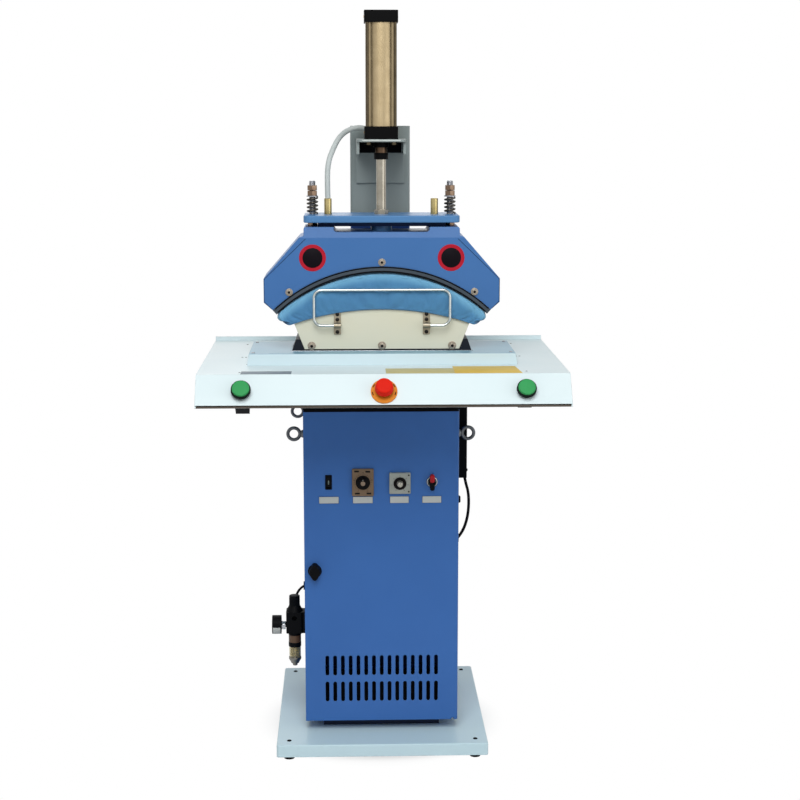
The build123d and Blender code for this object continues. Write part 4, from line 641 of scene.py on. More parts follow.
# Timer: a light grey dial timer with a broad black scale ring and a silver pointer knob, and a
# dark dot in each of its right-hand corners.
timer_grey = moulded("timer_grey", "#a4a8a2", "#8d928c", roughness=0.45)
dress(timer_grey, "timer")
timer_centre = face_centre("timer")
timer_ring = stack(
    circle(0.0150, 64), [(0, -0.0002), (0, 0.0010), (0.0004, 0.0014)], timer_centre, *TO_FRONT
)
build("timer_ring", [timer_ring], black_phenolic, "door")
timer_lift = 0.0016
timer_grip = skirted_knob(
    "timer_grip", forward(timer_centre, timer_lift), 0.0078, 0.0114, 16, turned_aluminium,
    "timer_knob",
)
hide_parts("timer_knob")
timer_top = forward(timer_centre, timer_lift + 0.0103)
timer_cap = stack(
    circle(0.0047, 40), [(0, -0.0003), (0, 0.0008), (0.0006, 0.0012)], timer_top, *TO_FRONT
)
build("timer_cap", [timer_cap], turned_aluminium, "timer_knob")
timer_pointer = disc_tick(0.0, 0.0008, 0.0044, 0.0010, forward(timer_top, 0.0012), 0.0002)
build("timer_pointer", [timer_pointer], dial_ink, "timer_knob")
timer_ticks = [
    disc_tick(angle, 0.0158, 0.0170, 0.0005, timer_centre, 0.0002)
    for angle in np.linspace(-dial_reach, dial_reach, 13)
]
timer_angles = np.linspace(-dial_reach, dial_reach, 7)
timer_numbers = dial_numbers(2, 0.0032, 0.0192, 0.0192, timer_angles, timer_centre)
corner_places = [
    (timer_centre[0] + 0.0205, timer_centre[1], timer_centre[2] + z) for z in (0.0195, -0.0195)
]
corner_steps = [(0, 0), (0, 0.0006), (0.0006, 0.0010)]
timer_corners = copies(circle(0.0019, 20), corner_steps, corner_places, TO_FRONT)
build("timer_scale", timer_ticks + timer_numbers + timer_corners, dial_ink, "door")

# Selector: a chromed ring on the door with a short lever, red in its upper half and black in
# its lower half.
chrome_plate = metal("chrome_plate", "#b9bcc0", "#9a9da2", 0.14, grain_size=0.004, relief=0.00001)
red_acrylic = moulded("red_acrylic", "#b5252e", "#861820", roughness=0.3)
selector_centre = (0.1192, door_face, instrument_row)
ring_profile = [
    (0.0, 0.0), (0.0, 0.0020), (0.0008, 0.0034), (0.0020, 0.0042), (0.0032, 0.0040),
    (0.0040, 0.0036), (0.0042, 0.0020),
]
selector_ring = stack(circle(0.0135, 64), ring_profile, selector_centre, *TO_FRONT)
build("selector_ring", [selector_ring], chrome_plate, "door")
lever_height, lever_edge, half_middle = 0.0130, 0.0024, 0.00955
edge_turn = np.radians(np.linspace(0, 90, 5))
edge_over = zip(
    lever_edge * (1 - np.cos(edge_turn)),
    lever_height - lever_edge + lever_edge * np.sin(edge_turn),
)
lever_steps = [(0.0, 0.0), *edge_over]
lever_places = [
    (selector_centre[0], door_face - 0.0042, selector_centre[2] + up * half_middle)
    for up in (1, -1)
]
upper, lower = copies(rectangle(0.0112, 0.0188, 0.0048), lever_steps, lever_places, TO_FRONT)
upper_lever = build("selector_upper", [upper], red_acrylic, "selector_lever")
build("selector_lower", [lower], black_nylon, "selector_lever")
selector_hub = stack(
    circle(0.0084, 40), [(0, 0), (0, 0.0016), (0.0012, 0.0024)], forward(selector_centre, 0.0030),
    *TO_FRONT,
)
build("selector_hub", [selector_hub], black_nylon, "selector_lever")
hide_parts("selector_lever")

# Latch: a black die-cast wing knob on a thin nylon rose, near the door's left edge. Its shaft
# goes through the door and turns a cam behind the flange.
black_cast = moulded("black_cast", "#07080c", "#040507", roughness=0.5, grain=0.0014, shine=0.07)
dress(black_cast, "latch_knob")
latch_place = (-0.158, door_face, 0.4405)
latch_rose = stack(
    circle(0.0165, 48), [(0, 0), (0, 0.0002), (0.0002, 0.00028)], latch_place, *TO_FRONT
)
build("latch_rose", [latch_rose], black_nylon, "door")

# Gear inside: a zinc-plated mounting plate with a contactor and a terminal row on a steel rail,
# and a solenoid valve with its coil below.
grey_polycarbonate = moulded("grey_polycarbonate", "#7b8288", "#6a7177", roughness=0.5)
dress(zinc_plate, "mounting_plate")
dress(grey_polycarbonate, "din_rail_gear")
valve_alloy = metal("valve_alloy", "#b3b6b8", "#9b9fa2", 0.38)
dress(valve_alloy, "solenoid_valve")
rail_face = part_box("din_rail_gear")[1].y - 0.0075
gear_row, terminal_depth, relay_depth = 0.540, 0.042, 0.075
slotted_steps = [(0, 0), (0, 0.0005), (0.0006, 0.0009)]
terminal_places = [
    (x, rail_face - terminal_depth, gear_row + z)
    for x in np.linspace(0.006, 0.114, 15) for z in (-0.0125, 0.0125)
]
relay_places = [
    (x, rail_face - relay_depth, gear_row + z)
    for x in (-0.074, -0.060, -0.046) for z in (-0.020, 0.020)
]
gear_screws = copies(circle(0.0022, 16), slotted_steps, terminal_places, TO_FRONT)
gear_screws += copies(circle(0.0030, 16), slotted_steps, relay_places, TO_FRONT)
build("terminal_screws", gear_screws, zinc_plate, "root")

# Lifting eyes: four forged eye bolts, dull grey with age, at the top of the cabinet's side walls.
# Each goes through the wall and is held by a nut inside.
forged_steel = metal("forged_steel", "#6d7074", "#45484c", 0.42)
dress(forged_steel, "lifting_eyes")

# Filter regulator: a black die-cast body on a steel angle, with a ribbed black knob on top and
# a clear bowl below, sleeved in amber and banded in black, that shows its element, on a zinc foot.
regulator_x, regulator_y = -0.209, -0.009
dress(black_cast, "regulator_body", "regulator_bracket", "air_fittings")
knob_low, knob_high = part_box("regulator_knob")
knob_radius, rib_count = 0.0132, 30
rib_angles = np.arange(rib_count * 8) * 2 * np.pi / (rib_count * 8)
rib_wave = np.clip(1.6 * np.cos(rib_count * rib_angles), -1, 1)
knob_profile = np.array([
    (1.00, 0.00, 0.0), (1.00, 0.05, 0.0), (0.985, 0.08, 1.0), (0.97, 0.78, 1.0),
    (0.965, 0.84, 0.0), (0.965, 0.93, 0.0), (0.93, 0.98, 0.0), (0.86, 1.00, 0.0),
])
ribbed = knob_profile[:, :1] + 0.025 * knob_profile[:, 2:] * (rib_wave - 1)[None]
knob_reach = knob_radius * ribbed
knob_rise = knob_low.z + knob_profile[:, 1:2] * (knob_high.z - knob_low.z)
knob_rings = np.stack([
    regulator_x + knob_reach * np.cos(rib_angles),
    regulator_y + knob_reach * np.sin(rib_angles),
    np.broadcast_to(knob_rise, knob_reach.shape),
], axis=-1)
regulator_grip = build(
    "regulator_grip", [closed(knob_rings)], black_nylon, "regulator_knob"
)
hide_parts("regulator_knob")


def clear_plastic(name, colour, roughness=0.08):
    """Clear moulded polycarbonate: it lets the light through with its tint, and its skin is
    slightly wavy, about 8 mm from crest to crest."""
    values = {
        "Base Color": linear(colour), "Transmission Weight": 0.9, "Roughness": roughness,
        "IOR": 1.46,
    }
    material, shader = start_material(name, values)
    place = add_node(material, "TexCoord")
    wave = add_node(
        material, "TexNoise", values={"Scale": 120.0, "Detail": 1.0},
        links={"Vector": (place, "Object")},
    )
    bump = add_node(
        material, "Bump", values={"Strength": 0.2, "Distance": 0.0001},
        links={"Height": (wave, "Fac")},
    )
    feed(material, shader, "Normal", bump, "Normal")
    return material


def revolved(profile, centre, hollow=False):
    """A profile of radius and height turned about the upright line through the centre. A hollow
    one ends where it starts, and encloses its wall alone."""
    profile = np.array(profile, float)
    count = 40
    angles = np.arange(count) * 2 * np.pi / count
    rings = np.stack([
        centre[0] + profile[:, :1] * np.cos(angles),
        centre[1] + profile[:, :1] * np.sin(angles),
        np.broadcast_to(profile[:, 1:], (len(profile), count)),
    ], axis=-1)
    return grid(rings, around=True) if hollow else closed(rings)


def sleeve(inner, outer, low, high, centre):
    """A short tube: its wall between two radii and two heights, with softened outer edges."""
    soft = 0.0004
    profile = [(inner, low), (outer - soft, low), (outer, low + soft), (outer, high - soft),
               (outer - soft, high), (inner, high), (inner, low)]
    return revolved(profile, centre, hollow=True)


smoke_bowl = clear_plastic("smoke_polycarbonate", "#d9d2b4")
dress(smoke_bowl, "filter_bowl")
regulator_axis = (regulator_x, regulator_y)
baffle_white = moulded("baffle_white", "#c4ba8e", "#93885f", roughness=0.5)
baffle = revolved(
    [(0.0040, 0.2480), (0.0108, 0.2470), (0.0112, 0.2330), (0.0100, 0.2140), (0.0040, 0.2100)],
    regulator_axis,
)
build("filter_element", [baffle], baffle_white, "root")
amber_sleeve = moulded("amber_sleeve", "#5f4530", "#46301d", roughness=0.35, shine=0.4)
bowl_radius = 0.0139
amber_ring = sleeve(bowl_radius, 0.0149, 0.2480, 0.2660, regulator_axis)
build("bowl_sleeve", [amber_ring], amber_sleeve, "root")
bowl_bands = [
    sleeve(bowl_radius, 0.0152, top - tall, top, regulator_axis)
    for top, tall in ((0.2738, 0.0078), (0.2480, 0.0110))
]
build("bowl_bands", bowl_bands, black_nylon, "root")
dull_zinc = metal("dull_zinc", "#8b8a86", "#5c5a56", 0.4)
bowl_foot = revolved(
    [(bowl_radius, 0.2100), (0.0148, 0.2096), (0.0150, 0.2050), (0.0140, 0.2032),
     (0.0104, 0.1975), (0.0100, 0.1950), (0.0060, 0.1935), (0.0056, 0.1888), (0.0044, 0.1880)],
    regulator_axis,
)
build("bowl_foot", [bowl_foot], dull_zinc, "root")

# Pressure gauge: a black steel case facing left, with a white dial behind glass, a black scale
# in plain numbers, a black needle and a bare white label round the lower front of its case.
gauge_centre = (-0.263, regulator_y, 0.291)
white_dial = moulded("white_dial", "#e4e5e0", "#d6d8d2", roughness=0.5)
dress(black_cast, "gauge_case")
dress(black_nylon, "gauge_needle")
dial_plane = (-0.2592, gauge_centre[1], gauge_centre[2])
gauge_dial = stack(circle(0.0202, 64), [(0, 0), (0, 0.0003)], dial_plane, *TO_LEFT)
build("gauge_dial", [gauge_dial], white_dial, "root")


def to_left(shape):
    """Turns a shape that faces the front at the gauge's dial round to face left: what ran right
    then runs to the front."""
    points, faces = shape
    points = np.asarray(points) - dial_plane
    turned = np.column_stack([points[:, 1], -points[:, 0], points[:, 2]])
    return turned + dial_plane, faces


sweep = np.radians(135)
dial_front = forward(dial_plane, 0.0003)
gauge_marks = [
    disc_tick(angle, 0.0162 if index % 5 else 0.0148, 0.0182, 0.0004, dial_front, 0.0002)
    for index, angle in enumerate(np.linspace(-sweep, sweep, 21))
]
number_front = forward(dial_plane, 0.0002)
gauge_marks += dial_numbers(2, 0.0042, 0.0116, 0.0116, np.linspace(-sweep, sweep, 6), number_front)
build("gauge_scale", [to_left(mark) for mark in gauge_marks], dial_ink, "root")
glass_plane = (-0.2624, gauge_centre[1], gauge_centre[2])
gauge_glass = stack(
    circle(0.0200, 64), [(0, 0), (0, 0.0004), (0.0006, 0.0007)], glass_plane, *TO_LEFT
)
window_glass = clear_plastic("window_glass", "#f4f7f6", roughness=0.02)
build("gauge_glass", [gauge_glass], window_glass, "root")
neck_place = (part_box("gauge_case")[1].x - 0.0020, gauge_centre[1], gauge_centre[2] - 0.0020)
neck = stack(
    hexagon(0.0180), [(0.0006, 0), (0, 0.0006), (0, 0.0086), (0.0006, 0.0092)], neck_place,
    *TO_LEFT,
)
build("gauge_neck", [neck], chrome_plate, "root")
label_angles = np.radians(np.linspace(-86, -4, 22))
label_section = (
    (-0.2610, 0.0222), (-0.2610, 0.0226), (-0.2608, 0.0228), (-0.2432, 0.0228), (-0.2430, 0.0226),
    (-0.2430, 0.0222),
)
label_rings = [
    [(x, gauge_centre[1] - reach * np.cos(angle), gauge_centre[2] + reach * np.sin(angle))
     for x, reach in label_section]
    for angle in label_angles
]
build("gauge_label", [closed(label_rings)], white_laminate, "root")

# Cable duct and grommets: a black painted sheet channel, screwed up the right wall to the table,
# with rubber grommets where the lead and the tube go through a wall. A square nylon plug closes
# the wall below the duct's foot.
duct_enamel = enamel("duct_enamel", "#05080e", "#030508", "#10151d", gloss=0.5, shine=0.05)
dress(duct_enamel, "cable_duct")
dress(foot_rubber, "cable_glands")
duct_low, duct_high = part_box("cable_duct")
duct_middle_y = (duct_low.y + duct_high.y) / 2
duct_places = [
    (duct_high.x, duct_middle_y + y, z)
    for y in (-0.017, 0.017) for z in (duct_low.z + 0.018, duct_high.z - 0.020)
]
duct_steps = [(0, 0), (0, 0.0008), (0.0010, 0.0018), (0.0026, 0.0024)]
duct_screws = copies(circle(0.0040, 20), duct_steps, duct_places, TO_RIGHT)
build("duct_screws", duct_screws, black_nylon, "root")
body_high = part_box("cabinet_body")[1]
plug_width = 0.016
wall_plug = stack(
    rectangle(plug_width, plug_width, 0.004), [(0, 0), (0, 0.0040), (0.0016, 0.0062)],
    (body_high.x, -0.032, 0.604), *TO_RIGHT,
)
build("wall_plug", [wall_plug], black_nylon, "root")

# Table support: a deep sheet box on the cabinet's roof, coloured a dark taupe as painted shade
# under the table, with a black strip where it meets the cabinet as painted shade in the joint.
support_shade_enamel = enamel("support_shade_enamel", "#857b70", "#6d645a", "#5a5249", shine=0.2)
dress(support_shade_enamel, "table_support")
support_low, support_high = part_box("table_support")
seam_width, seam_height = support_high.x - support_low.x + 0.001, 0.0070
seam = stack(
    rectangle(seam_width, seam_height, 0.0012), [(0, -0.0010), (0, 0.0012), (0.0006, 0.0018)],
    (0.0, support_low.y, body_high.z + 0.0036), *TO_FRONT,
)
build("support_shade_strip", [seam], black_ink_and_shade, "root")

# Table: folded sheet with a sloping front apron for the push buttons, an upstand at the back
# and skirts all round, in pale blue-white enamel. Countersunk screws hold it down. Along the
# apron's folded hem a black line over a taupe strip is painted shade.
table_enamel = enamel("table_enamel", "#deebed", "#cfe1e5", "#9fb0b8", cloud_size=0.35, shine=0.25)
dress(table_enamel, "table_top")
table_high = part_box("table_top")[1]
table_surface = 0.9555
screw_row = ((0.320, 0.123), (0.319, -0.090), (0.311, -0.091), (0.301, -0.201), (0.311, -0.316))
screw_places = [(side * x, y, table_surface) for side in (-1, 1) for x, y in screw_row]
sunk_steps = [(0, 0), (0, 0.0003), (0.0004, 0.0005)]
table_screws = copies(circle(0.0024, 16), sunk_steps, screw_places, UPWARDS)
dark_screw = moulded("dark_screw", "#3a3f45", "#24282d", roughness=0.5)
build("table_screws", table_screws, dark_screw, "root")
apron_foot = np.array([0.0, -0.390, 0.8958])
hem_shade_line = stack(
    rectangle(2 * table_high.x - 0.004, 0.0016, 0.0006), [(0, -0.0004), (0, 0.0006)],
    apron_foot - (0, 0, 0.0006), *TO_FRONT,
)
build("hem_shade_line", [hem_shade_line], black_ink_and_shade, "root")
# Painted shade: a taupe strip under the black line, for the shade on the hem.
lip_shade = enamel("lip_shade", "#5f574f", "#4c453e", "#453f39", shine=0.1)
lip = stack(
    rectangle(2 * table_high.x - 0.006, 0.0042, 0.0006), [(0, -0.0003), (0, 0.0003)],
    apron_foot - (0, 0, 0.0036), *TO_FRONT,
)
build("apron_lip_shade", [lip], lip_shade, "root")

# Guide strips: a pale yellow, a deep yellow and a grey band of vinyl stuck along the table's
# front edge, left blank.
pale_vinyl = moulded("pale_vinyl", "#cfc48c", "#b5ab78", roughness=0.45, grain=0.002)
yellow_vinyl = moulded("yellow_vinyl", "#dfc05a", "#cfae49", roughness=0.45, grain=0.002)
grey_vinyl = moulded("grey_vinyl", "#7f8c94", "#6c7981", roughness=0.45, grain=0.002)


def vinyl(low, high, front, back, slant=0.0):
    """A thin band lying on the table, its right end slanted forwards; each corner is drawn in
    towards the middle."""
    corners = np.array([(low, front), (high + slant, front), (high, back), (low, back)])
    return stack(
        lambda inset: corners - inset * np.sign(corners - corners.mean(axis=0)),
        [(0, 0), (0, 0.0002), (0.0002, 0.0003)], (0.0, 0.0, table_surface), *UPWARDS,
    )


pale_band = vinyl(0.005, 0.154, -0.339, -0.270)
yellow_band = vinyl(0.154, 0.293, -0.341, -0.242, slant=0.007)
grey_band = vinyl(-0.308, -0.199, -0.341, -0.302)
build("pale_strip", [pale_band], pale_vinyl, "root")
build("yellow_strip", [yellow_band], yellow_vinyl, "root")
build("grey_strip", [grey_band], grey_vinyl, "root")

# Platform: a low folded cover round the buck's foot with sloped sides, in the table's enamel,
# its top painted a darker grey-blue as the head's shade, with a bright trim along the front of
# its opening.
def paint_shade_zone(material, colour, edge, upward):
    """Paints what lies above the edge, or below it, in a second colour over the first: painted
    shade.
    """
    shader = material.node_tree.nodes["Principled BSDF"]
    first = shader.inputs["Base Color"].links[0].from_node
    place = add_node(material, "TexCoord")
    part = add_node(material, "SeparateXYZ", links={0: (place, "Object")})
    side = add_node(
        material, "Math", {"operation": "GREATER_THAN" if upward else "LESS_THAN"}, {1: edge},
        {0: (part, "Z")},
    )
    shade_mix = add_node(
        material, "Mix", COLOUR_MIX, {SECOND: linear(colour)},
        {MIX: (side, "Value"), FIRST: (first, MIXED)},
    )
    feed(material, shader, "Base Color", shade_mix, MIXED)


platform_enamel = enamel(
    "platform_enamel", "#cddfe5", "#bfd3da", "#9fb0b8", cloud_size=0.3, shine=0.3
)
dress(platform_enamel, "platform_cover")
platform_low, platform_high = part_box("platform_cover")
# Painted shade: the platform's top is coloured a darker grey-blue for the head's shade.
paint_shade_zone(platform_enamel, "#80a9bc", platform_high.z - 0.0006, upward=True)
foot_low, foot_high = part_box("buck_foot")
bright_width, bright_depth = foot_high.x - foot_low.x + 0.006, 0.0036
bright_trim = stack(
    rectangle(bright_width, bright_depth, 0.001), [(0, 0), (0, 0.0006), (0.0004, 0.0010)],
    (0.0, foot_low.y - 0.0052, platform_high.z), *UPWARDS,
)
build("opening_trim", [bright_trim], chrome_plate, "root")
platform_places = [
    (x, y, platform_high.z)
    for x in (-0.288, 0.288) for y in (platform_low.y + 0.020, platform_high.y - 0.020)
]
platform_steps = [(0, 0), (0, 0.0008), (0.0008, 0.0018), (0.0026, 0.0023)]
platform_screws = copies(circle(0.0040, 24), platform_steps, platform_places, UPWARDS)
build("platform_screws", platform_screws, zinc_plate, "root")

# Buck: a black steel foot through the platform, cream enamelled plates front and back, slanted
# side plates and a steel arch under the pad. Socket screws hold the plates to the foot.
black_enamel = enamel("black_enamel", "#0d1420", "#080d16", "#2c343e", gloss=0.42, shine=0.2)
cream_enamel = enamel(
    "cream_enamel", "#d1d4c9", "#d2ceb4", "#a69e86", gloss=0.30, cloud_size=0.22, shine=0.25
)
dress(black_enamel, "buck_foot")
dress(cream_enamel, "buck_plates", "buck_arch")
nickel_plate = metal("nickel_plate", "#b3aa9c", "#8a8174", 0.26)


def cap_screws(places, way, head, height):
    """Socket cap screws on their washers: a flat washer under a plain wall with a rounded rim."""
    washer_steps = [(0, 0), (0, 0.0010), (0.0004, 0.0014)]
    cap_steps = [(0.0, 0.0012), (0.0, height * 0.86), (head * 0.10, height * 0.97),
                 (head * 0.24, height), (head * 0.40, height)]
    washers = copies(circle(head * 1.45, 28), washer_steps, places, way)
    caps = copies(circle(head, 28), cap_steps, places, way)
    return washers + caps


def sockets(places, way, head, height):
    """The six-sided holes of cap screws as painted shade: a dark hexagon a hair above each flat
    top.
    """
    hole_steps = [(0, height - 0.0002), (0, height + 0.0001)]
    return copies(hexagon(head * 0.98, 24), hole_steps, places, way)


buck_face = foot_low.y - 0.003
buck_places = [(x, buck_face, 0.9925) for x in (-0.158, 0.0, 0.158)]
buck_screw = {"way": TO_FRONT, "head": 0.0065, "height": 0.0075}
build("buck_screws", cap_screws(buck_places, **buck_screw), nickel_plate, "root")
# Painted shade in the screws' sockets.
build(
    "buck_screw_sockets", sockets(buck_places, **buck_screw), black_ink_and_shade, "root"
)

# Pad: foam on the buck under a sky-blue woven cover, drawn tight over the arch and gathered
# under its hem, so that its crown bulges, its front creases and its ends hang over the buck.
arch_centre = 0.8165
pad_outer, pad_inner = 0.3416, 0.3281
pad_end_x, pad_corner_x = 0.2385, 0.2150
pad_front, pad_back = -0.1800, -0.0430
plate_front, plate_back = -0.1694, -0.0536
hem_middle, hem_end = 1.0780, 1.0385
crease_middle, crease_end = 1.126, 1.0520
crown_run = 0.024


def arched(x, half, middle, end):
    """The height at x of the circle through both ends and the middle: the radius from the
    half chord and the rise, then the circle's height."""
    rise = middle - end
    radius = (half**2 + rise**2) / (2 * rise)
    return middle - radius + np.sqrt(radius**2 - np.minimum(x, half) ** 2)


def pad_grid(along, around):
    """The pad's skin. Along runs from end to end. Around runs up the front from the hem, over the
    crease and the crown, down the back and home inside. Each station is a closed loop through its
    knots: between two of them it follows the cubic whose slope at either one is half the step
    between that knot's neighbours."""
    u = np.sin(np.linspace(-np.pi / 2, np.pi / 2, along))
    x = np.abs(u) * pad_corner_x
    hem = arched(x, pad_corner_x, hem_middle, hem_end)
    crease = arched(x, pad_corner_x, crease_middle, crease_end)
    top = arch_centre + np.sqrt(pad_outer**2 - (u * pad_end_x) ** 2)
    inner_top = arch_centre + np.sqrt(pad_inner**2 - (u * pad_corner_x) ** 2)
    wide, narrow = pad_end_x / pad_corner_x, 1.0
    flap = 0.3 * narrow + 0.7 * wide
    rise = top - crease
    knots = [
        (pad_front + 0.0048, hem, narrow), (pad_front + 0.0014, hem + 0.005, narrow),
        (pad_front, hem + 0.5 * (crease - hem), flap), (pad_front + 0.0008, crease, wide),
        (pad_front + 0.0030, crease + 0.55 * rise, wide),
        (pad_front + 0.0080, crease + 0.86 * rise, wide),
        (pad_front + crown_run, top - 0.0006, wide),
        (pad_front + 0.045, top, wide), ((pad_front + pad_back) / 2, top, wide),
        (pad_back - 0.045, top, wide), (pad_back - crown_run, top - 0.0006, wide),
        (pad_back - 0.0080, crease + 0.86 * rise, wide),
        (pad_back - 0.0030, crease + 0.55 * rise, wide),
        (pad_back - 0.0008, crease, wide), (pad_back, hem + 0.5 * (crease - hem), flap),
        (pad_back - 0.0014, hem + 0.005, narrow), (pad_back - 0.0048, hem, narrow),
        (plate_back, hem + 0.001, narrow), (plate_back, inner_top - 0.003, narrow),
        (plate_back - 0.003, inner_top, narrow), (plate_front + 0.003, inner_top, narrow),
        (plate_front, inner_top - 0.003, narrow), (plate_front, hem + 0.001, narrow),
    ]
    loop = np.array([
        np.column_stack([u * pad_corner_x * share, np.full(along, y), z]) for y, z, share in knots
    ])
    steps = np.linspace(0, len(knots), around, endpoint=False)
    low = steps.astype(int)
    part = (steps - low)[:, None, None]
    before, after, beyond = (loop[(low + i) % len(knots)] for i in (-1, 1, 2))
    here = loop[low]
    smooth = 0.5 * (
        2 * here + (after - before) * part
        + (2 * before - 5 * here + 4 * after - beyond) * part**2
        + (3 * here - before - 3 * after + beyond) * part**3
    )
    return smooth.transpose(1, 0, 2), u


# Near its ends the skin closes on the middle of its outer half, along a blunt superellipse.
pad_skin, pad_way = pad_grid(120, 138)
pad_heart = pad_skin[:, :96].mean(axis=1, keepdims=True)
end_start = 0.945
end_share = np.clip((np.abs(pad_way) - end_start) / (1 - end_start), 0, 1)
closing = (1 - end_share**2.5)[:, None, None] ** 0.4
pad_skin = pad_heart + (pad_skin - pad_heart) * (0.02 + 0.98 * closing)


thread_spacing = 0.0016


def woven(name, colour, shade, lit_crown, thread):
    """Plain-woven polyester cotton: warp and weft as two crossed waves of the skin's own map,
    1.6 mm a thread, drawn coarser than the real 0.6 mm so that it shows, with a soft sheen. It
    is painted lighter towards the crown, by the distance from the arch's centre: a painted
    highlight where the light falls on the pad's top."""
    values = {"Roughness": 0.85, "Sheen Weight": 0.25, "Sheen Roughness": 0.5}
    material, shader = start_material(name, values)
    uv = add_node(material, "UVMap", {"uv_map": "weave"})
    place = add_node(material, "TexCoord")
    warp = add_node(
        material, "TexWave", {"bands_direction": "X"}, {"Scale": 0.314 / thread, "Distortion": 0.6},
        {"Vector": (uv, "UV")},
    )
    weft = add_node(
        material, "TexWave", {"bands_direction": "Y"}, {"Scale": 0.314 / thread, "Distortion": 0.6},
        {"Vector": (uv, "UV")},
    )
    weave = add_node(
        material, "Math", {"operation": "MULTIPLY"}, links={0: (warp, "Fac"), 1: (weft, "Fac")}
    )
    cloud = add_node(
        material, "TexNoise", values={"Scale": 16.0, "Detail": 4.0},
        links={"Vector": (place, "Object")},
    )
    tone = add_node(
        material, "Mix", COLOUR_MIX, {FIRST: linear(colour), SECOND: linear(shade)},
        {MIX: (cloud, "Fac")},
    )
    upright = add_node(
        material, "Mapping", values={"Location": (0, 0, -arch_centre), "Scale": (1, 0, 1)},
        links={"Vector": (place, "Object")},
    )
    distance = add_node(
        material, "VectorMath", {"operation": "LENGTH"}, links={0: (upright, "Vector")}
    )
    highlight_share = add_node(
        material, "MapRange", {"interpolation_type": "SMOOTHSTEP"},
        {"From Min": 0.316, "From Max": 0.336}, {"Value": (distance, "Value")},
    )
    highlighted = add_node(
        material, "Mix", COLOUR_MIX, {SECOND: linear(lit_crown)},
        {MIX: (highlight_share, "Result"), FIRST: (tone, MIXED)},
    )
    dark = add_node(
        material, "Mix", {"data_type": "RGBA", "blend_type": "MULTIPLY"},
        {MIX: 0.35}, {FIRST: (highlighted, MIXED), SECOND: (weave, "Value")},
    )
    bump = add_node(
        material, "Bump", values={"Strength": 0.5, "Distance": 0.0004},
        links={"Height": (weave, "Value")},
    )
    feed(material, shader, "Base Color", dark, MIXED)
    feed(material, shader, "Normal", bump, "Normal")
    return material


# Painted highlight: the pale crown colour is where the light falls on the pad's top.
pad_cloth = woven("pad_cloth", "#5499c8", "#4684b8", "#78bbe2", thread_spacing)


def map_skin(piece, u, v):
    """Writes a map in metres along and around the skin, one pair for each vertex."""
    mesh = piece.data
    layer = mesh.uv_layers.new(name="weave")
    corners = np.zeros(len(mesh.loops), int)
    mesh.loops.foreach_get("vertex_index", corners)
    layer.data.foreach_set("uv", np.column_stack([u, v])[corners].ravel())


def settle(piece, held, growth, most):
    """Lets a closed cover settle over its filling as cloth a little too large for it, blown up from
    inside without gravity, with its held points pinned; no point may move further than most."""
    start = np.array([vertex.co for vertex in piece.data.vertices])
    group = piece.vertex_groups.new(name="held")
    group.add(np.flatnonzero(held).tolist(), 1.0, "REPLACE")
    cloth = piece.modifiers.new("settling", "CLOTH")
    cloth.settings.quality = 6
    cloth.settings.mass = 0.2
    cloth.settings.bending_stiffness = 0.3
    cloth.settings.shrink_min = -growth
    cloth.settings.use_pressure = True
    cloth.settings.uniform_pressure_force = 4.0
    cloth.settings.effector_weights.gravity = 0.0
    cloth.settings.vertex_group_mass = "held"
    cloth.collision_settings.use_collision = False
    for step in range(1, 21):
        scene.frame_set(step)
    settled = piece.evaluated_get(bpy.context.evaluated_depsgraph_get()).data
    moved = np.array([vertex.co for vertex in settled.vertices]) - start
    length = np.linalg.norm(moved, axis=1, keepdims=True)
    scene.frame_set(1)
    piece.modifiers.remove(cloth)
    piece.vertex_groups.remove(group)
    return start + moved * np.minimum(1.0, most / np.maximum(length, 1e-9))


pad = build("pad_cover", [closed(pad_skin)], pad_cloth, None, crease=80.0)
pad_points = np.array([vertex.co for vertex in pad.data.vertices])
skin_angle = np.arctan2(pad_points[:, 0], pad_points[:, 2] - arch_centre)
map_skin(pad, skin_angle * pad_outer, pad_points[:, 1] - pad_points[:, 2])
inside = (pad_points[:, 1] > plate_front - 0.006) & (pad_points[:, 1] < plate_back + 0.006)
inside &= np.hypot(pad_points[:, 0], pad_points[:, 2] - arch_centre) < pad_outer - 0.002
settle_growth, settle_most, swell = 0.045, 0.005, 0.0018
pad_points = settle(pad, inside, settle_growth, settle_most)
reach = np.hypot(pad_points[:, 0], pad_points[:, 2] - arch_centre)
tuck = np.minimum(1.0, pad_outer / reach)
pad_points[:, 0] *= tuck
pad_points[:, 2] = arch_centre + (pad_points[:, 2] - arch_centre) * tuck
pad_points[:, 1] = np.clip(pad_points[:, 1], pad_front - swell, pad_back + swell)
pad.data.vertices.foreach_set("co", pad_points.ravel())
smoothing = pad.modifiers.new("smoothing", "SUBSURF")
smoothing.levels = smoothing.render_levels = 1
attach(pad, "root")
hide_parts("buck_pad")
hem_radius = 0.0016
hem_line = pad_skin[4:-4, 0] + (0, 0.0006, -0.0004)
hem_cord = tube(hem_line, np.full(len(hem_line), hem_radius), (0, 1, 0), 10)
build("pad_hem", [hem_cord], pad_cloth, "root")

# Bail: a bent chromed wire that holds the shirt's body flat, turning in two plated brackets
# that are screwed to the buck's front plate.
bright_chrome = metal("bright_chrome", "#c3cac9", "#a4abaa", 0.16, grain_size=0.003, relief=0.00001)
dress(bright_chrome, "bail")
aged_steel = metal("aged_steel", "#a19989", "#79725f", 0.42)
dress(aged_steel, "bail_brackets")
black_screw = metal("black_screw", "#35322f", "#1d1b1a", 0.35)
bracket_face = buck_face - 0.0025
bracket_places = [
    (x, bracket_face, z) for x in (-0.100, 0.100) for z in (1.0240, 1.0520, 1.0640)
]
bracket_steps = [(0, 0), (0, 0.0010), (0.0009, 0.0022), (0.0026, 0.0028)]
bracket_screws = copies(circle(0.0044, 24), bracket_steps, bracket_places, TO_FRONT)
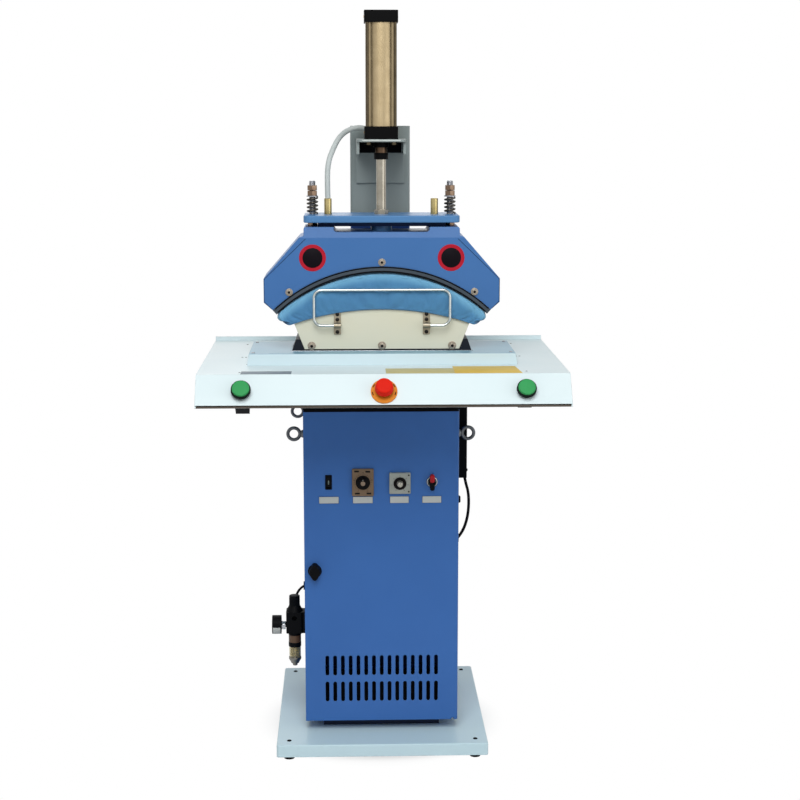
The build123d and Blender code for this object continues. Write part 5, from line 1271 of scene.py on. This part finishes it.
# Painted shade in the screws' slots: a dark bar a hair above each head.
slot_steps = [(0, 0.0020), (0, 0.00285)]
bracket_slots = copies(rectangle(0.0058, 0.0012, 0.0002), slot_steps, bracket_places, TO_FRONT)
build("bracket_screws", bracket_screws, black_screw, "root")
build("bracket_screw_slots", bracket_slots, black_ink_and_shade, "root")

# Column: a welded box section on a foot plate, bolted to the table, in grey-green enamel, with
# its lower part painted dark blue as the shade behind the head and under the crossbar. It
# carries the cylinder and takes the heater leads.
column_enamel = enamel(
    "column_enamel", "#848e8d", "#788383", "#a3aaa7", gloss=0.38, cloud_size=0.2
)
shade_edge = 1.272
# Painted shade: below this height the column is coloured dark blue for the shade behind the head.
paint_shade_zone(column_enamel, "#22407c", shade_edge, upward=False)
dress(column_enamel, "column", "cylinder_bracket")
column_low, column_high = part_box("column")
foot_top = table_surface + 0.010
bolt_places = [
    (x, y, foot_top)
    for x in (-0.082, 0.082) for y in (column_low.y + 0.020, column_high.y - 0.020)
]
washer_steps = [(0, 0), (0, 0.0014), (0.0004, 0.0018)]
column_washers = copies(circle(0.0110, 32), washer_steps, bolt_places, UPWARDS)
bolt_steps = [(0, 0.0018), (0, 0.0082), (0.0008, 0.0094), (0.0020, 0.0098)]
column_bolts = copies(hexagon(0.017), bolt_steps, bolt_places, UPWARDS)
build("column_bolts", column_bolts + column_washers, zinc_plate, "root")

# Cylinder bracket: a welded steel shelf with a back plate and two cheeks in the column's enamel,
# with a pale painted highlight along its front edge and a black sheet between its cheeks as
# painted shade. The cylinder's tie rods end in nuts below it.
# Painted shade: a black sheet on the back plate between the cheeks.
shade_liner = stack(
    rectangle(0.0974, 0.0268, 0.0008), [(0, 0), (0, 0.0008), (0.0003, 0.0011)],
    (0.0, 0.0, 1.4315), *TO_FRONT,
)
build("bracket_shade_liner", [shade_liner], black_ink_and_shade, "root")
shelf_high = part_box("cylinder_bracket")[1]
shelf_edge = stack(
    rectangle(0.0860, 0.0030, 0.0012), [(0, -0.0002), (0, 0.0004), (0.0003, 0.0006)],
    (0.0, -0.155, shelf_high.z - 0.0026), *TO_FRONT,
)
# Painted highlight: a pale strip along the shelf's front edge, where the light catches it.
edge_highlight_enamel = enamel("edge_highlight_enamel", "#c3cac8", "#b2bab8", "#d5dad8")
build("bracket_edge_highlight", [shelf_edge], edge_highlight_enamel, "root")

# Cylinder: a tie-rod air cylinder, 63 mm bore, with black die-cast caps, a champagne anodised
# barrel between steel tie rods, socket screws in the cap corners, a plugged port and two cushion
# screws in each cap, and an oiled bronze bush where the rod comes out.
black_anodised = moulded(
    "black_anodised", "#060607", "#030304", roughness=0.45, grain=0.0012, shine=0.05
)
dress(black_anodised, "cylinder_caps")
upright_grain = (1, 1, 0.03)
champagne = metal("champagne_anodised", "#b09f7f", "#918061", 0.40, grain=upright_grain)
dress(champagne, "cylinder_barrel")
# Painted shade: the tie rods are coloured darker than their steel, for the shade between them and
# the barrel.
tie_rod_steel_and_shade = metal("tie_rod_steel_and_shade", "#5f5544", "#3b3428", 0.18, grain=upright_grain)
dress(tie_rod_steel_and_shade, "cylinder_fixings")
caps_low, caps_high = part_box("cylinder_caps")
cylinder_y = (caps_low.y + caps_high.y) / 2
rod_offset = 0.0308
corner_places = [
    (x, cylinder_y + y, caps_high.z - 0.0045)
    for x in (-rod_offset, rod_offset) for y in (-rod_offset, rod_offset)
]
cap_head_steps = [(0, 0.0038), (0, 0.0043), (0.0005, 0.00448)]
cap_bolts = copies(circle(0.0044, 24), cap_head_steps, corner_places, UPWARDS)
# Painted shade in the bolts' sockets.
cap_holes = copies(hexagon(0.0044, 24), [(0, 0.0040), (0, 0.0045)], corner_places, UPWARDS)
build("cap_bolts", cap_bolts, zinc_plate, "root")
build("cap_bolt_sockets", cap_holes, black_ink_and_shade, "root")
brass = metal("brass", "#b08d4f", "#8b6a34", 0.28)
cap_heights = (1.4655, 1.7185)
port_places = [(0.0, caps_high.y, z) for z in cap_heights]
port_steps = [(0.0006, 0), (0, 0.0006), (0, 0.0030), (0.0007, 0.0036)]
port_plugs = copies(hexagon(0.0165), port_steps, port_places, TO_BACK)
build("port_plugs", port_plugs, brass, "root")
cushion_steps = [(0, 0), (0, 0.0006), (0.0005, 0.0010)]
cushion_screws = []
for x, way in ((caps_low.x, TO_LEFT), (caps_high.x, TO_RIGHT)):
    cushion_places = [(x, cylinder_y, z) for z in cap_heights]
    cushion_screws += copies(circle(0.0030, 20), cushion_steps, cushion_places, way)
build("cushion_screws", cushion_screws, brass, "root")
rod_axis = (0.0, cylinder_y)
gland_bush = sleeve(0.0115, 0.0137, 1.4203, 1.4328, rod_axis)
oiled_bronze = metal("oiled_bronze", "#6b5644", "#3d3027", 0.35)
build("gland_bush", [gland_bush], oiled_bronze, "root")

# Piston rod: a ground and hard-chromed steel bar that comes out of the cylinder's bush, screwed
# into the crossbar's boss and locked there with a nut.
rod_steel = metal("rod_steel", "#aca79b", "#837d70", 0.22, grain=(0.05, 0.05, 1))
dress(rod_steel, "piston_rod")

# Head: a welded casing of 3 mm sheet in blue enamel over the curved die, with black edge strips
# along its arch and three socket screws front and back. Dark lines along the sheet's slanted
# sides and round its recess are painted shade.
head_enamel = enamel(
    "head_enamel", "#436fa7", "#3b679f", "#7396c0", gloss=0.34, cloud_size=0.18, shine=0.2
)
dress(head_enamel, "head_casing")
# Painted highlight: the strips are black, coloured mid grey for the light along their rounded
# faces.
strip_highlight_enamel = enamel("strip_highlight_enamel", "#465059", "#39424b", "#5c666f", gloss=0.36, shine=0.15)
dress(strip_highlight_enamel, "arch_strips")
die_alloy = metal("die_alloy", "#b9bcbd", "#9da1a3", 0.34, grain=(0.05, 1, 1))
dress(die_alloy, "pressing_die")
element_steel = metal("element_steel", "#7d7468", "#5d554b", 0.45)
dress(element_steel, "heater_rods")
head_low, head_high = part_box("head_casing")
head_spots = ((-0.2073, 1.1143), (0.0, 1.1805), (0.2073, 1.1143))
# Painted shade in the screws' sockets.
head_screws, head_sockets = [], []
for y, way in ((head_low.y, TO_FRONT), (head_high.y, TO_BACK)):
    head_places = [(x, y, z) for x, z in head_spots]
    head_screw = {"way": way, "head": 0.0058, "height": 0.0068}
    head_screws += cap_screws(head_places, **head_screw)
    head_sockets += sockets(head_places, **head_screw)
build("head_screws", head_screws, nickel_plate, "head")
build("head_screw_sockets", head_sockets, black_ink_and_shade, "head")


def ribbon(path, width, rise, origin, right, up):
    """A flat bar along a path on a plane: each point of the path moves half the width to either
    side, square to the run between its neighbours."""
    path = np.asarray(path, float)
    way = np.gradient(path, axis=0)
    beside = np.column_stack([-way[:, 1], way[:, 0]])
    beside *= width / 2 / np.linalg.norm(beside, axis=1, keepdims=True)
    ring = np.concatenate([path + beside, (path - beside)[::-1]])
    return stack(lambda inset: ring, [(0, -rise), (0, rise)], origin, right, up)


def arc(radius, start, end, centre=(0.0, 0.0), count=60):
    """Points on an arc, its angles in degrees from the plane's right."""
    angles = np.radians(np.linspace(start, end, count))
    return np.array(centre) + radius * np.column_stack([np.cos(angles), np.sin(angles)])


side_path = np.array([
    (0.1695, 1.2330), (0.1716, 1.2310), (0.2618, 1.1442), (0.2630, 1.1415), (0.2630, 1.0935),
    (0.2618, 1.0915), (0.2470, 1.0765),
])
recess_path = np.array([(0.1065, 1.2566), (0.1055, 1.2510), (0.1020, 1.2478), (0.0, 1.2472)])
recess_depth, line_rise = 0.004, 0.0002
front_edge, recess_edge = (0, head_low.y, 0), (0, head_low.y + recess_depth, 0)
edge_shades = []
for hand in (1, -1):
    side_line = ribbon(side_path * (hand, 1), 0.0012, line_rise, front_edge, *TO_FRONT)
    recess_line = ribbon(recess_path * (hand, 1), 0.0014, line_rise, recess_edge, *TO_FRONT)
    edge_shades += [side_line, recess_line]
# Painted shade: dark lines along the casing's slanted sides and round its recess.
edge_shade = moulded("edge_shade", "#14233f", "#0d1830", roughness=0.5)
build("head_edge_shades", edge_shades, edge_shade, "head")
# The strips' own black and painted shade: black lines along their top and bottom, for the gap above
# and the pad below.
strip_face = (0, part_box("arch_strips")[0].y, 0)
strip_centre, strip_start, strip_end = (0.0, arch_centre), 47.4, 132.6
strip_black_and_shade_lines = [
    ribbon(
        arc(radius, strip_start, strip_end, strip_centre), width, line_rise, strip_face, *TO_FRONT
    )
    for radius, width in ((0.3530, 0.0028), (0.3436, 0.0030))
]
build("strip_black_and_shade_lines", strip_black_and_shade_lines, black_ink_and_shade, "head")

# Badges: two round moulded plates, glued to the head's front, each a red rim round a black disc
# and otherwise bare.
badge_red = moulded("badge_red", "#b51c30", "#9d1627", roughness=0.45)
badge_black = moulded("badge_black", "#120c14", "#0a070b", roughness=0.5, shine=0.06)
badge_places = [(x, head_low.y, 1.1905) for x in (-0.1545, 0.1545)]
rim_steps = [(0, 0), (0, 0.0003), (0.0002, 0.0005)]
disc_steps = [(0, 0.0004), (0, 0.0006), (0.0002, 0.0007)]
rims = copies(circle(0.0300, 72), rim_steps, badge_places, TO_FRONT)
discs = copies(circle(0.0222, 72), disc_steps, badge_places, TO_FRONT)
build("badge_rims", rims, badge_red, "head")
build("badge_discs", discs, badge_black, "head")

# Crossbar: a thick blue enamelled plate that the piston rod lifts, with an insulating board
# under it, coloured dark navy as painted shade. Two threaded studs with coil springs and
# double nuts hang the head from it, and two brass nipples lead the heater wires up.
crossbar_enamel = enamel("crossbar_enamel", "#5181b1", "#4976a5", "#7fa3c6", gloss=0.34, shine=0.2)
dress(crossbar_enamel, "crossbar")
head_middle = (head_low.y + head_high.y) / 2
board_width, board_depth, board_drop = 0.286, 0.084, 0.0249
board_steps = [(0.0004, 0), (0, 0.0004), (0, 0.0084), (0.0004, 0.0088)]
board = stack(
    rectangle(board_width, board_depth, 0.004), board_steps,
    (0.0, head_middle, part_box("crossbar")[1].z - board_drop), *UPWARDS,
)
# Painted shade: the board is coloured dark navy for the shade under the crossbar.
board_shade_navy = moulded("board_shade_navy", "#16284a", "#0f1d38", roughness=0.55, grain=0.002)
build("insulating_board", [board], board_shade_navy, "head")
spring_steel = metal("spring_steel", "#5f5b54", "#2e2b28", 0.24)
dress(spring_steel, "suspension_springs")
pale_brass = metal("pale_brass", "#cbbd8a", "#8c7846", 0.24, grain=(1, 1, 0.05))
dress(pale_brass, "conduit_nipples")
copper_plate = metal("copper_plate", "#8f7966", "#4d3c31", 0.24)


def thread(centre, low, high, radius, pitch):
    """A threaded bar: its radius falls by a fraction of the pitch as a triangle wave of the
    height in pitches less the turn, and fades out over its last pitch."""
    rows, count = int((high - low) / pitch * 8), 24
    height = np.linspace(low, high, rows)[:, None]
    angles = np.arange(count)[None] * 2 * np.pi / count
    wave = np.abs(2 * ((height / pitch - angles / (2 * np.pi)) % 1.0) - 1)
    fade = np.clip((high - height) / pitch, 0, 1)
    reach = radius - 0.45 * pitch * wave - 0.6 * pitch * (1 - fade)
    rings = np.stack([
        centre[0] + reach * np.cos(angles), centre[1] + reach * np.sin(angles),
        np.broadcast_to(height, reach.shape),
    ], axis=-1)
    return closed(rings)


stud_bottom, stud_top, stud_radius, stud_pitch = 1.2465, 1.3586, 0.0075, 0.00200
stud_axes = [(x, head_middle) for x in (-0.155, 0.155)]
stud_bars = [thread(axis, stud_bottom, stud_top, stud_radius, stud_pitch) for axis in stud_axes]
stud_nuts = []
for bottom, tall in ((stud_bottom, 0.009), (1.2585, 0.009), (1.3255, 0.011), (1.3375, 0.011)):
    nut_steps = [(0.0012, 0), (0, 0.0008), (0, tall - 0.0008), (0.0012, tall), (0.0026, tall)]
    nut_places = [(*axis, bottom) for axis in stud_axes]
    stud_nuts += copies(hexagon(0.021), nut_steps, nut_places, UPWARDS)
spring_top = 1.323
ring_steps = [(0.0003, 0), (0, 0.0003), (0, 0.0022), (0.0003, 0.0025)]
ring_places = [(*axis, spring_top) for axis in stud_axes]
stud_washers = copies(circle(0.013, 40), ring_steps, ring_places, UPWARDS)
studs = build("studs", stud_bars, zinc_plate, "head")
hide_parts("suspension_studs")
build("stud_nuts", stud_nuts, copper_plate, "head")
build("stud_washers", stud_washers, zinc_plate, "head")

# Push buttons: two green mushroom buttons for two-hand control, each a green cap over a
# near-black green skirt on its stem, the skirt painted shade for the cap's shaded side, on
# moulded bodies under the apron.
ON_APRON = ((1.0, 0.0, 0.0), (0.0, 0.6104, 0.7921))
button_row = (-0.3706, 0.9210)
button_x, button_radius = 0.305, 0.0215
green_acetal = moulded("green_acetal", "#3a9c5a", "#318f50", roughness=0.45, grain=0.0009)
# Painted shade: the skirt is near-black green for the shaded side of the cap.
shade_skirt = moulded("shade_skirt", "#0b1914", "#07110d", roughness=0.5, shine=0.06)
dress(black_nylon, "button_bodies")
cap_steps = [
    (0.0024, 0.0158), (0.0027, 0.0172), (0.0031, 0.0196), (0.0038, 0.0209), (0.0052, 0.0216),
    (0.0090, 0.0219), (0.0140, 0.0220),
]
skirt_steps = [
    (0.0020, 0.0076), (0.0006, 0.0080), (0.0, 0.0092), (0.0003, 0.0150), (0.0009, 0.0166),
    (0.0022, 0.0170), (0.0032, 0.0166),
]
stem_radius, stem_rise = 0.0079, [(0, -0.0060), (0, 0.0084)]
for x, side in ((-button_x, "left"), (button_x, "right")):
    place = (x, *button_row)
    node = f"palm_button_{side}"
    cap_shape = stack(circle(button_radius, 64), cap_steps, place, *ON_APRON)
    cap = build(f"green_cap_{side}", [cap_shape], green_acetal, node)
    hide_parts(node)
    skirt = stack(circle(button_radius, 64), skirt_steps, place, *ON_APRON)
    stem = stack(circle(stem_radius, 32), stem_rise, place, *ON_APRON)
    build(f"shade_skirt_{side}", [skirt, stem], shade_skirt, node)

# Emergency stop: a red mushroom that latches when pushed and twists free, on an orange-yellow
# disc with four short black marks and no words.
signal_yellow = moulded("signal_yellow", "#dc8a2c", "#cb7822", roughness=0.42, grain=0.002)
signal_red = moulded(
    "signal_red", "#e02a1b", "#cc2217", roughness=0.5, grain=0.0009, shine=0.04
)
dress(signal_yellow, "estop_ring")
dress(black_nylon, "estop_plunger")
stop_place = (0.0, *button_row)
head_steps = [
    (0.0040, 0.0131), (0.0012, 0.0134), (0.0, 0.0148), (0.0, 0.0178), (0.0010, 0.0196),
    (0.0014, 0.0210), (0.0016, 0.0262), (0.0022, 0.0284), (0.0038, 0.0298), (0.0064, 0.0305),
    (0.0110, 0.0308), (0.0160, 0.0309),
]
mushroom = stack(circle(0.0200, 72), head_steps, stop_place, *ON_APRON)
stop_head = build("stop_mushroom", [mushroom], signal_red, "estop_head")
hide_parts("estop_head")
mark_radius, mark_width, half_mark = 0.0252, 0.0020, 9
ring_top = np.array(stop_place) + 0.0041 * np.cross(*ON_APRON)
stop_marks = [
    ribbon(arc(mark_radius, middle - half_mark, middle + half_mark, count=14), mark_width, 0.0003,
           ring_top, *ON_APRON)
    for middle in (150, 195, 345, 30)
]
build("stop_marks", stop_marks, black_ink_and_shade, "root")

# Floor: a plain white studio floor that keeps the machine's soft shadow close round the stand
# and fades to the white background away from it.
def seen_directly(owner):
    """One for rays that the viewer follows: from the camera, off gloss or through clear parts."""
    rays = add_node(owner, "LightPath")
    seen = add_node(
        owner, "Math", {"operation": "MAXIMUM"},
        links={0: (rays, "Is Camera Ray"), 1: (rays, "Is Glossy Ray")},
    )
    return add_node(
        owner, "Math", {"operation": "MAXIMUM"},
        links={0: (seen, "Value"), 1: (rays, "Is Transmission Ray")},
    )


floor_mesh = bpy.data.meshes.new("floor")
floor_reach = 6.0
floor_corners = [
    (x * floor_reach, y * floor_reach, 0) for x, y in ((-1, -1), (1, -1), (1, 1), (-1, 1))
]
floor_mesh.from_pydata(floor_corners, [], [(0, 1, 2, 3)])
floor = bpy.data.objects.new("floor", floor_mesh)
scene.collection.objects.link(floor)
floor_white, floor_shader = start_material(
    "floor_white", {"Base Color": linear("#e8e8e8"), "Roughness": 0.9, "Specular IOR Level": 0.2}
)
floor_place = add_node(floor_white, "TexCoord")
from_stand = add_node(
    floor_white, "VectorMath", {"operation": "DISTANCE"}, {1: (0.0, 0.116, 0.0)},
    {0: (floor_place, "Object")},
)
fade = add_node(
    floor_white, "MapRange", {"interpolation_type": "SMOOTHSTEP"},
    {"From Min": 0.12, "From Max": 0.32}, {"Value": (from_stand, "Value")},
)
shown = seen_directly(floor_white)
share = add_node(
    floor_white, "Math", {"operation": "MULTIPLY"}, links={0: (fade, "Result"), 1: (shown, "Value")}
)
glow = add_node(floor_white, "Emission", values={"Color": (1, 1, 1, 1), "Strength": 1.0})
joined = add_node(
    floor_white, "MixShader",
    links={0: (share, "Value"), 1: (floor_shader, "BSDF"), 2: (glow, "Emission")},
)
surface = floor_white.node_tree.nodes["Material Output"]
feed(floor_white, surface, "Surface", joined, "Shader")
floor_mesh.materials.append(floor_white)


# Lights: a broad soft box above and in front, weaker ones from the right and from behind, and a
# plain world that is white to the camera.
def soft_box(name, place, target, size, power):
    """A square area light that looks at its target."""
    lamp = bpy.data.lights.new(name, "AREA")
    lamp.size = size
    lamp.energy = power
    light = bpy.data.objects.new(name, lamp)
    scene.collection.objects.link(light)
    way = np.array(target) - np.array(place)
    flat = np.hypot(way[0], way[1])
    light.rotation_euler = (np.arctan2(flat, -way[2]), 0.0, np.arctan2(-way[0], way[1]))
    light.location = place


machine_middle = (0.0, 0.0, 0.95)
soft_box("key_light", (-0.3, -3.0, 3.45), machine_middle, 2.3, 108.0)
soft_box("fill_light", (2.6, -2.2, 1.6), machine_middle, 2.0, 18.0)
soft_box("back_light", (-0.6, 3.2, 2.8), machine_middle, 2.2, 18.0)

world = bpy.data.worlds.new("studio")
scene.world = world
world.use_nodes = True
sky = world.node_tree.nodes["Background"]
sky.inputs["Color"].default_value = (1.0, 1.0, 1.0, 1.0)
ambient, white = 0.32, 1.0
strength = add_node(
    world, "MapRange", values={"To Min": ambient, "To Max": white},
    links={"Value": (seen_directly(world), "Value")},
)
feed(world, sky, "Strength", strength, "Result")
scene.view_settings.view_transform = "Standard"
